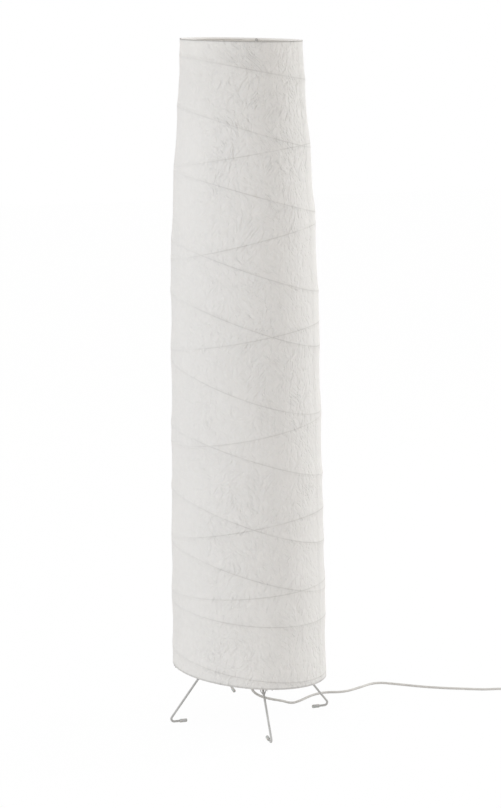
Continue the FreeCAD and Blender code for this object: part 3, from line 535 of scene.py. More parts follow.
class Bench:
    """Modelling moves that the pieces share.

    A bend of wire has a step for every ARC_STEP degrees, but at least LEAST_STEPS.
    """

    ARC_STEP = 7
    LEAST_STEPS = 6

    @staticmethod
    def clear() -> None:
        """Leaves edit mode and deselects everything."""
        if bpy.context.object and bpy.context.object.mode != "OBJECT":
            bpy.ops.object.mode_set(mode="OBJECT")
        bpy.ops.object.select_all(action="DESELECT")

    @staticmethod
    def take(piece: Piece) -> None:
        """Makes a piece the only one that is selected."""
        Bench.clear()
        piece.select_set(True)
        bpy.context.view_layer.objects.active = piece

    @staticmethod
    @contextmanager
    def editing(piece: Piece) -> Iterator[None]:
        """Edits a piece's mesh for the length of a with block.

        Args:
            piece: The piece.

        Yields:
            Nothing: the mesh is in edit mode, with all of it selected.
        """
        Bench.take(piece)
        bpy.ops.object.mode_set(mode="EDIT")
        bpy.ops.mesh.select_all(action="SELECT")
        yield
        bpy.ops.object.mode_set(mode="OBJECT")

    @staticmethod
    def add(name: str, data: bpy.types.ID) -> Piece:
        """Puts new object data into the scene.

        Args:
            name: The object's name.
            data: Its mesh, curve, light or camera.

        Returns:
            The object.
        """
        piece = bpy.data.objects.new(name, data)
        bpy.context.scene.collection.objects.link(piece)
        return piece

    @staticmethod
    def settle(piece: Piece, angle: float = 40.0) -> Piece:
        """Puts a piece's place into its mesh and smooths what isn't an edge.

        Args:
            piece: The piece.
            angle: Edges sharper than this, in degrees, stay sharp.

        Returns:
            The piece.
        """
        Bench.take(piece)
        bpy.ops.object.transform_apply(location=True, rotation=True, scale=True)
        bpy.ops.object.shade_smooth_by_angle(angle=math.radians(angle))
        return piece

    @staticmethod
    def turn(name: str, profile: Sequence[Pair], steps: int = 48, base: float = 0.0,
             angle: float = 40.0) -> Piece:
        """Turns a piece about the vertical: a ring is extruded and scaled along its profile.

        Args:
            name: The piece's name.
            profile: Radius and height pairs in millimetres. A zero radius closes an end, and a last
                pair like the first closes the wall of a tube.
            steps: Points round the ring.
            base: A level that is added to the heights.
            angle: Edges sharper than this stay sharp.

        Returns:
            The piece.
        """
        Bench.clear()
        points = [(radius * MM, (base + height) * MM) for radius, height in profile]
        capped = points[0][0] == 0
        radius, level = points[1] if capped else points[0]
        fill = "TRIFAN" if capped else "NOTHING"
        bpy.ops.mesh.primitive_circle_add(
            vertices=steps, radius=radius, fill_type=fill, location=(0, 0, level)
        )
        piece = bpy.context.object
        piece.name = name
        with Bench.editing(piece):
            if capped:
                bpy.ops.mesh.region_to_loop()
            for next_radius, next_level in points[2 if capped else 1:]:
                rise = {"value": (0, 0, next_level - level)}
                bpy.ops.mesh.extrude_region_move(TRANSFORM_OT_translate=rise)
                if next_radius == 0:
                    bpy.ops.mesh.merge(type="CENTER")
                else:
                    share = next_radius / radius
                    centre = (0, 0, next_level)
                    bpy.ops.transform.resize(value=(share, share, 1), center_override=centre)
                radius, level = next_radius, next_level
            bpy.ops.mesh.select_all(action="SELECT")
            if profile[0] == profile[-1]:
                bpy.ops.mesh.remove_doubles(threshold=WELD)
            bpy.ops.mesh.normals_make_consistent(inside=False)
        return Bench.settle(piece, angle)

    @staticmethod
    def rod(name: str, corners: Sequence[Point], bends: Sequence[float], radius: float) -> Piece:
        """A round metal wire with rounded bends and domed-off ends.

        Args:
            name: The piece's name.
            corners: The wire's corners in millimetres.
            bends: The bend radius at each inner corner, in millimetres.
            radius: The wire's radius in millimetres.

        Returns:
            The wire as a mesh.
        """
        Bench.clear()
        nodes = [Vector(corner) * MM for corner in corners]
        line = [nodes[0]]
        for before, corner, after, bend in zip(nodes, nodes[1:], nodes[2:], bends):
            back, ahead = (before - corner).normalized(), (after - corner).normalized()
            half = back.angle(ahead) / 2
            centre = corner + (back + ahead).normalized() * (bend * MM / math.sin(half))
            start = corner + back * (bend * MM / math.tan(half)) - centre
            sweep = math.pi - 2 * half
            axis = back.cross(ahead).normalized()
            steps = max(Bench.LEAST_STEPS, int(math.degrees(sweep) / Bench.ARC_STEP))
            line += [centre + Matrix.Rotation(-sweep * i / steps, 3, axis) @ start for i in range(steps + 1)]
        line.append(nodes[-1])
        bpy.ops.curve.primitive_nurbs_path_add()
        piece = bpy.context.object
        piece.name = name
        curve = piece.data
        curve.splines.clear()
        spline = curve.splines.new("POLY")
        spline.points.add(len(line) - 1)
        for point, place in zip(spline.points, line):
            point.co = (*place, 1.0)
        curve.bevel_depth = radius * MM
        curve.bevel_resolution = 5
        curve.use_fill_caps = True
        Bench.take(piece)
        bpy.ops.object.convert(target="MESH")
        piece = bpy.context.object
        Bench.finish_edges(piece, radius * 0.18, 2, 50.0)
        return Bench.settle(piece, 50.0)

    @staticmethod
    def finish_edges(piece: Piece, width: float, segments: int = 2, angle: float = 30.0) -> None:
        """Rounds a piece's sharp edges.

        Args:
            piece: The piece.
            width: The rounding in millimetres.
            segments: Steps in the rounding.
            angle: Edges sharper than this are rounded.
        """
        with Bench.editing(piece):
            bpy.ops.mesh.remove_doubles(threshold=WELD)
        bevel = piece.modifiers.new("rounding", "BEVEL")
        bevel.width = width * MM
        bevel.segments = segments
        bevel.limit_method = "ANGLE"
        bevel.angle_limit = math.radians(angle)
        bpy.ops.object.modifier_apply(modifier=bevel.name)

    @staticmethod
    def soften(name: str, node: str, width: float, segments: int = 2, angle: float = 30.0) -> Piece:
        """A copy of a constructed piece with rounded edges, which takes its place.

        Args:
            name: The new piece's name.
            node: The constructed piece.
            width: The rounding in millimetres.
            segments: Steps in the rounding.
            angle: Edges sharper than this are rounded.

        Returns:
            The new piece.
        """
        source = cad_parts[node]
        piece = Bench.add(name, source.data.copy())
        piece.data.materials.clear()
        with Bench.editing(piece):
            bpy.ops.mesh.remove_doubles(threshold=2 * WELD)
            bpy.ops.mesh.dissolve_limited(angle_limit=math.radians(2.0))
            bpy.ops.mesh.normals_make_consistent(inside=False)
        Bench.finish_edges(piece, width, segments, angle)
        Bench.settle(piece, 35.0)
        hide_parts(node)
        return piece

    @staticmethod
    def reshape(piece: Piece, rule: Callable[[np.ndarray], np.ndarray]) -> None:
        """Moves every point of a mesh.

        Args:
            piece: The piece.
            rule: Gives the new array of points for the old one.
        """
        count = len(piece.data.vertices)
        points = np.empty(count * 3)
        piece.data.vertices.foreach_get("co", points)
        moved = rule(points.reshape(count, 3))
        piece.data.vertices.foreach_set("co", moved.reshape(-1))
        piece.data.update()

    @staticmethod
    def lay(piece: Piece, at: Point, azimuth: float = 0.0) -> Piece:
        """Lays a piece made about the vertical down, with its top pointing along an azimuth.

        Args:
            piece: The piece.
            at: Where its origin goes, in millimetres.
            azimuth: The way it points, in degrees.

        Returns:
            The piece.
        """
        turn = Matrix.Rotation(math.radians(azimuth), 4, "Z") @ Matrix.Rotation(math.radians(90), 4, "Y")
        piece.data.transform(Matrix.Translation(Vector(at) * MM) @ turn)
        piece.data.update()
        return piece

    @staticmethod
    def stand(piece: Piece, azimuth: float, reach: float = 0.0) -> Piece:
        """Moves a piece outwards and turns it about the lamp's axis.

        Args:
            piece: The piece.
            azimuth: The turn, in degrees.
            reach: How far outwards it goes first, in millimetres.

        Returns:
            The piece.
        """
        place = Matrix.Rotation(math.radians(azimuth), 4, "Z") @ Matrix.Translation((reach * MM, 0.0, 0.0))
        piece.data.transform(place)
        piece.data.update()
        return piece

    @staticmethod
    def join(name: str, pieces: Sequence[Piece]) -> Piece:
        """Joins pieces into one.

        Args:
            name: The whole's name.
            pieces: The pieces.

        Returns:
            The whole.
        """
        Bench.take(pieces[0])
        for piece in pieces[1:]:
            piece.select_set(True)
        bpy.ops.object.join()
        pieces[0].name = name
        return pieces[0]


def dress(piece: Piece, look: Finish | PaperFinish, *nodes: str,
          body: Body = Body.STAND) -> Piece:
    """Gives a piece its material, its body and the nodes it stands for.

    Args:
        piece: The piece.
        look: Its finish.
        nodes: The constructed pieces that it takes the place of.
        body: The body that it rides on.

    Returns:
        The piece.
    """
    piece.data.materials.clear()
    piece.data.materials.append(look.make())
    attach(piece, body.value)
    if nodes:
        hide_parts(*nodes)
    return piece


# ------------------------------------------------------------------ camera, light and floor


@dataclass(frozen=True)
class SoftLamp:
    """A large soft lamp: where it hangs, its width in metres, its power in watts and its colour."""

    name: str
    at: Point
    size: float
    power: float
    colour: Colour
    aim: Point = (0.0, 0.0, 0.75)

    def hang(self) -> None:
        """Puts the lamp up, facing what it lights."""
        data = bpy.data.lights.new(self.name, "AREA")
        data.shape = "SQUARE"
        data.size = self.size
        data.energy = self.power
        data.color = self.colour
        aimed = (Vector(self.at) - Vector(self.aim)).to_track_quat("Z", "Y").to_matrix().to_4x4()
        Bench.add(self.name, data).matrix_world = Matrix.Translation(self.at) @ aimed


@dataclass
class Studio:
    """The camera of the photograph, a white surrounding and soft light."""

    eye: Point = (-0.8627, -3.3724, 1.359)
    yaw: float = 14.495
    pitch: float = 11.478
    roll: float = -0.739
    focal_pixels: float = 1789.6
    frame_height: float = 808.0
    sensor: float = 36.0
    sky: float = 0.975
    sky_tint: Colour = (1.0, 0.982, 0.966)
    floor_size: float = 24.0
    floor_level: float = -0.2 * MM
    floor_white: float = 0.975
    floor_colour: Colour = (0.86, 0.86, 0.86)
    lamps: tuple[SoftLamp, ...] = (
        SoftLamp("key_left", (-2.86, -0.85, 1.5), 1.2, 23.5, (0.84, 0.93, 1.0)),
        SoftLamp("key_right", (2.95, 0.5, 1.5), 1.0, 42.0, (0.96, 1.0, 1.0)),
    )

    def build(self) -> None:
        """Sets up the camera, the world, the floor and the lamps."""
        self.camera()
        self.world()
        self.floor()
        for lamp in self.lamps:
            lamp.hang()

    def camera(self) -> None:
        """Places the camera by its angles, with the photograph's lens."""
        yaw, pitch, roll = (math.radians(a) for a in (self.yaw, self.pitch, self.roll))
        ahead = Vector((math.sin(yaw) * math.cos(pitch), math.cos(yaw) * math.cos(pitch), -math.sin(pitch)))
        level = Vector((math.cos(yaw), -math.sin(yaw), 0.0))
        upward = level.cross(ahead)
        right = level * math.cos(roll) + upward * math.sin(roll)
        above = upward * math.cos(roll) - level * math.sin(roll)
        data = bpy.data.cameras.new("camera")
        data.sensor_fit = "VERTICAL"
        data.sensor_height = self.sensor
        data.lens = self.focal_pixels * self.sensor / self.frame_height
        data.clip_end = 60.0
        camera = Bench.add("camera", data)
        turn = Matrix((right, above, -ahead)).transposed().to_4x4()
        camera.matrix_world = Matrix.Translation(self.eye) @ turn
        bpy.context.scene.camera = camera

    def world(self) -> None:
        """A plain sky for light that is pure white where the camera, gloss or glass looks at it."""
        graph = Graph("studio_white", "worlds")
        light = graph.node("ShaderNodeBackground", {}, {"Color": self.sky_tint, "Strength": self.sky})
        white = graph.node("ShaderNodeBackground", {}, {"Color": WHITE})
        seen = graph.seen("Camera", "Glossy", "Transmission")
        shown = graph.blend(seen, light, white)
        bpy.context.scene.world = graph.finish(shown, "ShaderNodeOutputWorld")
        bpy.context.scene.view_settings.view_transform = "Standard"

    def floor(self) -> None:
        """A white floor that keeps a faint shadow."""
        Bench.clear()
        bpy.ops.mesh.primitive_plane_add(size=self.floor_size, location=(0, 0, self.floor_level))
        floor = bpy.context.object
        floor.name = "studio_floor"
        graph = Graph("studio_floor")
        seen = graph.seen("Camera", "Glossy") * self.floor_white
        matt = graph.node("ShaderNodeBsdfDiffuse", {}, {"Color": self.floor_colour})
        white = graph.node("ShaderNodeEmission", {}, {"Color": WHITE, "Strength": 1.0})
        floor.data.materials.append(graph.finish(graph.blend(seen, matt, white)))


# ------------------------------------------------------------------ mains cord


@dataclass
class MainsCord:
    """The cord from the grip under the hub, through the switch and the coil, to the plug.

    The points, radii and levels are in millimetres, and the length is in metres.
    """

    diameter: float = 5.0
    length: float = 1.68
    exit: Point = (0.0, 0.0, 80.0)
    free: tuple[Point, ...] = (
        (0.0, 0.0, 80.0), (0.0, 0.0, 62.0), (13.0, 4.0, 41.0), (44.0, 14.0, 24.5), (76.0, 25.0, 13.0),
        (97.0, 31.5, 2.5), (118.0, 40.0, 2.5), (150.0, 65.0, 2.5), (182.0, 75.0, 2.5),
        (222.0, 63.0, 2.5), (262.0, 80.0, 2.5), (305.0, 101.0, 2.5), (345.0, 77.0, 2.5),
        (390.0, 47.5, 2.5), (434.0, 25.0, 2.5), (476.0, 8.0, 2.5), (512.0, -7.0, 2.5),
        (539.8, -20.5, 6.0), (556.0, -27.0, 6.0),
    )
    middle: tuple[Point, ...] = (
        (648.7, -64.5, 6.0), (674.7, -75.0, 6.0), (703.2, -65.7, 3.4), (719.1, -40.3, 3.4),
        (719.1, -14.3, 3.4),
    )
    end: tuple[Point, ...] = (
        (719.1, -2.3, 8.9), (719.1, 16.0, 8.9), (713.0, 38.0, 6.8), (702.0, 57.05, 6.8),
    )
    coil_y: float = -8.3
    low_layer: float = 3.4
    high_layer: float = 8.9
    radii_in: tuple[float, ...] = (35.5, 32.75, 30.0, 27.25)
    radius_climb: float = 24.5
    radii_out: tuple[float, ...] = (27.25, 30.0, 32.75)
    points_per_half: int = 8

    def coil_points(self) -> list[Point]:
        """The coil's control points: half turns inwards low down, a climb, and half turns outwards.

        The spline cuts inside its control points, so these lie further out by the swell.

        Returns:
            The points, in millimetres.
        """
        swell = 8.0 / (6.0 + 2.0 * math.cos(math.pi / self.points_per_half))
        x, way, last = self.middle[-1][0], 1, len(self.radii_in)
        points: list[Point] = []
        for turn, radius in enumerate([*self.radii_in, self.radius_climb, *self.radii_out]):
            centre, reach = x - way * radius, way * radius * swell
            for i in range(self.points_per_half):
                share = (i + 0.5) / self.points_per_half
                climb = 1.0 if turn > last else share if turn == last else 0.0
                level = self.low_layer + climb * (self.high_layer - self.low_layer)
                angle = math.pi * share
                points.append((centre + reach * math.cos(angle),
                               self.coil_y + reach * math.sin(angle), level))
            x, way = x - 2 * way * radius, -way
        return points

    def build(self) -> Iterator[Piece]:
        """Builds the switch, the tie and the plug, and then the cord that carries them.

        Yields:
            Each finished piece.
        """
        fittings = CordFittings().build()
        yield from fittings
        curve = bpy.data.curves.new("mains_cord", "CURVE")
        curve.dimensions = "3D"
        spline = curve.splines.new("NURBS")
        route = [*self.free, *self.middle, *self.coil_points(), *self.end]
        spline.points.add(len(route) - 1)
        for point, (x, y, z) in zip(spline.points, route):
            point.co = (x * MM, y * MM, z * MM, 1.0)
        spline.order_u = 3
        spline.use_endpoint_u = True
        spline.resolution_u = 6
        curve.bevel_depth = self.diameter / 2 * MM
        curve.bevel_resolution = 4
        curve.use_fill_caps = True
        cord = Bench.add("mains_cord", curve)
        dress(cord, CORD_SLEEVE, "cord_free", "cord_middle", "cord_coil", "cord_end")
        start = tuple(part * MM for part in self.exit)
        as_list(fittings)
        yield cord


def onward(at: Point, azimuth: float, along: float, aside: float = 0.0) -> Point:
    """A point at the same height, further along an azimuth.

    Args:
        at: The first point.
        azimuth: The way, in degrees.
        along: How far along it.
        aside: How far to the left of it.

    Returns:
        The point.
    """
    turn = math.radians(azimuth)
    return (at[0] + along * math.cos(turn) - aside * math.sin(turn),
            at[1] + along * math.sin(turn) + aside * math.cos(turn), at[2])


@dataclass
class CordFittings:
    """The rocker switch, the coil's tie and the two-pin plug."""

    relief_root: float = 4.0
    relief_nose: float = 2.9
    relief_length: float = 20.0
    switch_at: Point = (602.35, -45.75, 6.0)
    switch_azimuth: float = -22.0
    switch_half: float = 30.0
    plug_nose: Point = (702.0, 57.05, 6.8)
    plug_azimuth: float = 120.0
    plug_face: float = 56.0
    pin_spacing: float = 19.0
    rings: int = 5
    ring_start: float = 2.5
    ring_pitch: float = 3.2

    def build(self) -> list[Piece]:
        """Builds the fittings.

        Returns:
            The pieces that lie on the cord.
        """
        shells = [
            dress(Bench.soften(name, node, width, 3), MOULDED, body=body)
            for name, node, width, body in (
                ("switch_base_shell", "switch_base", 0.8, Body.STAND),
                ("switch_cover_shell", "switch_cover", 1.2, Body.STAND),
                ("switch_rocker_key", "switch_rocker", 0.7, Body.ROCKER),
            )
        ]
        reliefs = [
            self.relief(f"relief_{name}", node, onward(at, azimuth, along), azimuth + turn)
            for name, node, at, azimuth, along, turn in (
                ("in", "switch_relief_in", self.switch_at, self.switch_azimuth, -self.switch_half, 180.0),
                ("out", "switch_relief_out", self.switch_at, self.switch_azimuth, self.switch_half, 0.0),
                ("plug", "plug_relief", self.plug_nose, self.plug_azimuth, self.relief_length, 180.0),
            )
        ]
        plug = dress(Bench.soften("plug_shell", "plug_body", 1.6, 4), MOULDED)
        pins = self.pins()
        tie = dress(Bench.soften("coil_band", "coil_tie", 0.3, 2), CORD_SLEEVE)
        return [*shells, *reliefs, plug, pins, tie]

    def relief(self, name: str, node: str, at: Point, azimuth: float) -> Piece:
        """A ringed, tapered strain relief.

        Args:
            name: The piece's name.
            node: The constructed piece that it stands for.
            at: Where its root is, in millimetres.
            azimuth: The way it points.

        Returns:
            The piece.
        """
        root, nose, long = self.relief_root, self.relief_nose, self.relief_length
        profile = [(0.0, 0.0), (root, 0.0)]
        for ring in range(self.rings):
            low = self.ring_start + ring * self.ring_pitch
            radius = root + (nose - root) * low / long
            profile += [(radius, low), (radius - 0.55, low + 0.4), (radius - 0.6, low + 1.2),
                        (radius - 0.1, low + 1.6)]
        profile += [(nose, long - 0.8), (nose - 0.3, long), (0.0, long)]
        return dress(Bench.lay(Bench.turn(name, profile, 28), at, azimuth), CORD_SLEEVE, node)

    def pins(self) -> Piece:
        """The two plug pins with rounded tips.

        Returns:
            The pins, as one piece.
        """
        profile = [(0.0, 0.0), (2.0, 0.0), (2.0, 16.8), (1.85, 18.0), (1.3, 18.75), (0.6, 19.0), (0.0, 19.0)]
        pins = []
        for side in (-1, 1):
            root = onward(self.plug_nose, self.plug_azimuth, self.plug_face, side * self.pin_spacing / 2)
            pin = Bench.turn(f"pin_{side}", profile, 24, angle=50.0)
            pins.append(Bench.lay(pin, root, self.plug_azimuth))
        return dress(Bench.join("plug_pin_pair", pins), BRASS, "plug_pins")


# ------------------------------------------------------------------ shade


@dataclass(frozen=True)
class Hoop:
    """A hoop in a slanted plane: its height on the axis, its fall and where it falls to."""

    height: float
    slant: float
    azimuth: float

    def normal(self) -> Point:
        """The direction along which the hoop's plane has one height."""
        fall = math.radians(self.azimuth)
        return (self.slant * math.cos(fall), self.slant * math.sin(fall), 1.0)

    def level(self, x: np.ndarray, y: np.ndarray) -> np.ndarray:
        """The plane's height over points."""
        across, along, _ = self.normal()
        return self.height - across * x - along * y


@dataclass
class Shade:
    """The paper tube, its hems, end rings and two layers of ribs.

    Attributes:
        outline: Heights and outside radii of the constructed tube, in metres.
        top: The upper rim's plane.
        bottom: The lower rim's plane.
        outer: The hoops that lie against the paper.
        inner: The hoops inside those.
        wall: The constructed paper's thickness.
        sheet: The paper's thickness here.
        sag: How far the paper falls in between two hoops.
        sag_reach: How soon it does so, away from a hoop.
        wrinkle: The depth of its wrinkles.
        corner_reach: How far the outline's corners are rounded off.
        past_rim: How far the paper stands past its rims.
        bay: The gap between hoops from which the sag is whole.
        slack: The depth of the slow waves in the paper.
        first_guess: The radius at which a slanting plane's height is first taken.
        rounds: How often it is worked out again from the radius found there.
        plain_reach: The radius of the plain tube that the paper is shaped from.
        blank_reach: The radius of the flat strip that the hoops are bent from.
        columns: The paper's faces round the tube.
        rows: The parts that its height is divided into, and each of those again.
        seam_azimuth: Where the paper's ends are glued over each other, in degrees.
    """

    outline: tuple[Pair, ...] = (
        (1.360, 0.1165), (1.210, 0.1275), (1.060, 0.1385), (0.900, 0.1455), (0.660, 0.1490),
        (0.270, 0.1560), (0.106, 0.1570),
    )
    top: Hoop = Hoop(1.360, 0.039, 300.0)
    bottom: Hoop = Hoop(0.106, 0.123, 18.0)
    outer: tuple[Hoop, ...] = (
        Hoop(1.310, 0.20, 345.0), Hoop(1.199, 0.32, 345.0), Hoop(1.074, 0.30, 355.0),
        Hoop(0.931, 0.36, 350.0), Hoop(0.828, 0.38, 345.0), Hoop(0.698, 0.37, 335.0),
        Hoop(0.565, 0.35, 355.0), Hoop(0.435, 0.375, 350.0), Hoop(0.329, 0.34, 355.0),
        Hoop(0.241, 0.12, 350.0), Hoop(0.131, 0.19, 350.0),
    )
    inner: tuple[Hoop, ...] = (
        Hoop(1.144, 0.16, 155.0), Hoop(0.979, 0.23, 160.0), Hoop(0.795, 0.17, 155.0),
        Hoop(0.609, 0.165, 165.0), Hoop(0.417, 0.20, 135.0), Hoop(0.287, 0.085, 115.0),
    )
    wall: float = 0.8 * MM
    sheet: float = 0.3 * MM
    sag: float = 2.3 * MM
    sag_reach: float = 20.0 * MM
    wrinkle: float = 0.42 * MM
    corner_reach: float = 0.05
    past_rim: float = 2.0 * MM
    bay: float = 0.09
    slack: float = 0.45 * MM
    first_guess: float = 0.14
    plain_reach: float = 0.15
    rounds: int = 4
    blank_reach: float = 0.12
    columns: int = 176
    rows: tuple[int, int] = (18, 15)
    seam_azimuth: float = 322.0

    def reach(self, height: np.ndarray) -> np.ndarray:
        """The paper's outside radius, with the outline's corners rounded off.

        Args:
            height: The heights.

        Returns:
            The radii.
        """
        spread = np.linspace(-self.corner_reach, self.corner_reach, 11)
        return np.mean([self.flat_reach(height + step) for step in spread], axis=0)

    def flat_reach(self, height: np.ndarray) -> np.ndarray:
        """The constructed tube's outside radius at heights."""
        levels, radii = zip(*reversed(self.outline))
        return np.interp(height, levels, radii)

    def build(self) -> Iterator[Piece]:
        """Builds the paper, the rings and the ribs.

        Yields:
            Each finished piece.
        """
        yield self.paper()
        blank = self.blank(3.0, 4.0, 0.5)
        for end, rim in (("top", self.top), ("bottom", self.bottom)):
            strip = self.strip(f"rim_{end}", blank, rim, 0.1)
            yield dress(strip, RIM_STRIP, f"{end}_ring", body=Body.SHADE)
        bpy.data.objects.remove(blank)
        blank = self.blank(1.2, 2.0, 0.35)
        for layer, hoops, inset in (("outer", self.outer, 0.1), ("inner", self.inner, 1.4)):
            strips = [self.strip(f"{layer}_{i}", blank, hoop, inset) for i, hoop in enumerate(hoops)]
            yield dress(Bench.join(f"hoops_{layer}", strips), BAMBOO, f"ribs_{layer}", body=Body.SHADE)
        bpy.data.objects.remove(blank)

    def paper(self) -> Piece:
        """The tube of paper, tented over its hoops and hollow between them.

        Returns:
            The paper.
        """
        Bench.clear()
        bpy.ops.mesh.primitive_cylinder_add(
            vertices=self.columns, radius=self.plain_reach, depth=1.0, end_fill_type="NOTHING",
            location=(0, 0, 0.5)
        )
        piece = bpy.context.object
        piece.name = "paper_shade"
        bpy.ops.object.transform_apply(location=True)
        for parts in self.rows:
            with Bench.editing(piece):
                bpy.ops.mesh.select_mode(type="EDGE")
                bpy.ops.mesh.select_all(action="DESELECT")
            for edge in piece.data.edges:
                ends = [piece.data.vertices[i].co for i in edge.vertices]
                edge.select = abs(ends[0].z - ends[1].z) > 1e-4
            bpy.ops.object.mode_set(mode="EDIT")
            bpy.ops.mesh.subdivide(number_cuts=parts - 1)
        bpy.ops.object.mode_set(mode="OBJECT")
        LOG.info("the paper has %d points", len(piece.data.vertices))
        Bench.reshape(piece, self.tented)
        Bench.take(piece)
        thicken = piece.modifiers.new("thickness", "SOLIDIFY")
        thicken.thickness = self.sheet
        thicken.offset = -1.0
        bpy.ops.object.modifier_apply(modifier=thicken.name)
        # Marks the points on the inner face, which the paper material paints lighter as painted light.
        inner = piece.data.attributes.new("inner", "FLOAT", "POINT")
        faces_in = [float(spot.normal.xy.dot(spot.co.xy) < 0.0) for spot in piece.data.vertices]
        inner.data.foreach_set("value", faces_in)
        Bench.settle(piece, 60.0)
        paper = PaperFinish((*self.outer, *self.inner), (self.top, self.bottom), self.seam_azimuth)
        return dress(piece, paper, "paper_tube", body=Body.SHADE)

    def tented(self, points: np.ndarray) -> np.ndarray:
        """Shapes a plain tube of height 1 into the shade.

        Args:
            points: The tube's points.

        Returns:
            The moved points.
        """
        azimuth = np.arctan2(points[:, 1], points[:, 0])
        share = points[:, 2]
        across, along = np.cos(azimuth), np.sin(azimuth)
        radius = np.full(len(points), self.first_guess)
        for _ in range(self.rounds):
            low = self.bottom.level(radius * across, radius * along) - self.past_rim
            high = self.top.level(radius * across, radius * along) + self.past_rim
            height = low + share * (high - low)
            radius = self.reach(height)
        hoops = [self.top, self.bottom, *self.outer, *self.inner]
        gaps = np.array([np.abs(height - hoop.level(radius * across, radius * along)) for hoop in hoops])
        nearest = np.sort(gaps, axis=0)
        free = 1.0 - np.exp(-nearest[0] / self.sag_reach)
        wide = np.clip(nearest[1] / self.bay, 0.2, 1.0)
        waves = 0.5 * np.sin(7 * azimuth + 9 * height) + 0.5 * np.sin(11 * azimuth - 23 * height + 1.3)
        radius = radius - free * (self.sag * wide + self.slack * (1.0 + waves))
        here = np.column_stack((radius * across, radius * along, height))
        radius = radius - self.wrinkle * (1.0 + self.wrinkled(here)) * (0.3 + 0.7 * free)
        return np.column_stack((radius * across, radius * along, height))

    @staticmethod
    def wrinkled(points: np.ndarray) -> np.ndarray:
        """Upright and slanting wrinkles.

        Args:
            points: The paper's points.

        Returns:
            Their height at each point, from about -1 to 1.
        """
        x, y, z = points.T
        upright = np.column_stack((70.0 * x, 70.0 * y, 24.0 * z))
        slanting = np.column_stack((52.0 * x + 22.0 * z, 52.0 * y - 16.0 * z, 20.0 * z))
        return np.array([
            noise.noise(Vector(first)) + noise.noise(Vector(second))
            for first, second in zip(upright.tolist(), slanting.tolist())
        ])

    def blank(self, depth: float, rise: float, rounding: float) -> Piece:
        """A flat round strip that the hoops are bent from.

        Args:
            depth: Its radial size in millimetres.
            rise: Its height in millimetres.
            rounding: The rounding of its edges in millimetres.

        Returns:
            The strip, centred on its height.
        """
        half, reach = rise / 2, self.blank_reach / MM
        inside = reach - depth
        profile = [(reach, -half), (reach, half), (inside, half), (inside, -half), (reach, -half)]
        piece = Bench.turn("strip_blank", profile, 96)
        Bench.finish_edges(piece, rounding, 2, 40.0)
        return piece

    def strip(self, name: str, blank: Piece, hoop: Hoop, inset: float) -> Piece:
        """A strip bent to a hoop just inside the paper.

        Args:
            name: The piece's name.
            blank: The flat round strip.
            hoop: Its plane.
            inset: How far inside the paper's inner face it lies, in millimetres.

        Returns:
            The strip.
        """
        piece = Bench.add(name, blank.data.copy())

        def bend(points: np.ndarray) -> np.ndarray:
            """Moves the ring's points to the hoop.

            Args:
                points: The strip's points.

            Returns:
                The moved points.
            """
            azimuth = np.arctan2(points[:, 1], points[:, 0])
            inward = self.blank_reach - np.hypot(points[:, 0], points[:, 1])
            across, along = np.cos(azimuth), np.sin(azimuth)
            radius = np.full(len(points), self.first_guess)
            for _ in range(self.rounds):
                level = hoop.level(radius * across, radius * along)
                radius = self.flat_reach(level) - self.wall - inset * MM
            radius = radius - inward
            level = hoop.level(radius * across, radius * along) + points[:, 2]
            return np.column_stack((radius * across, radius * along, level))

        Bench.reshape(piece, bend)
        return Bench.settle(piece, 50.0)


# ------------------------------------------------------------------ stand


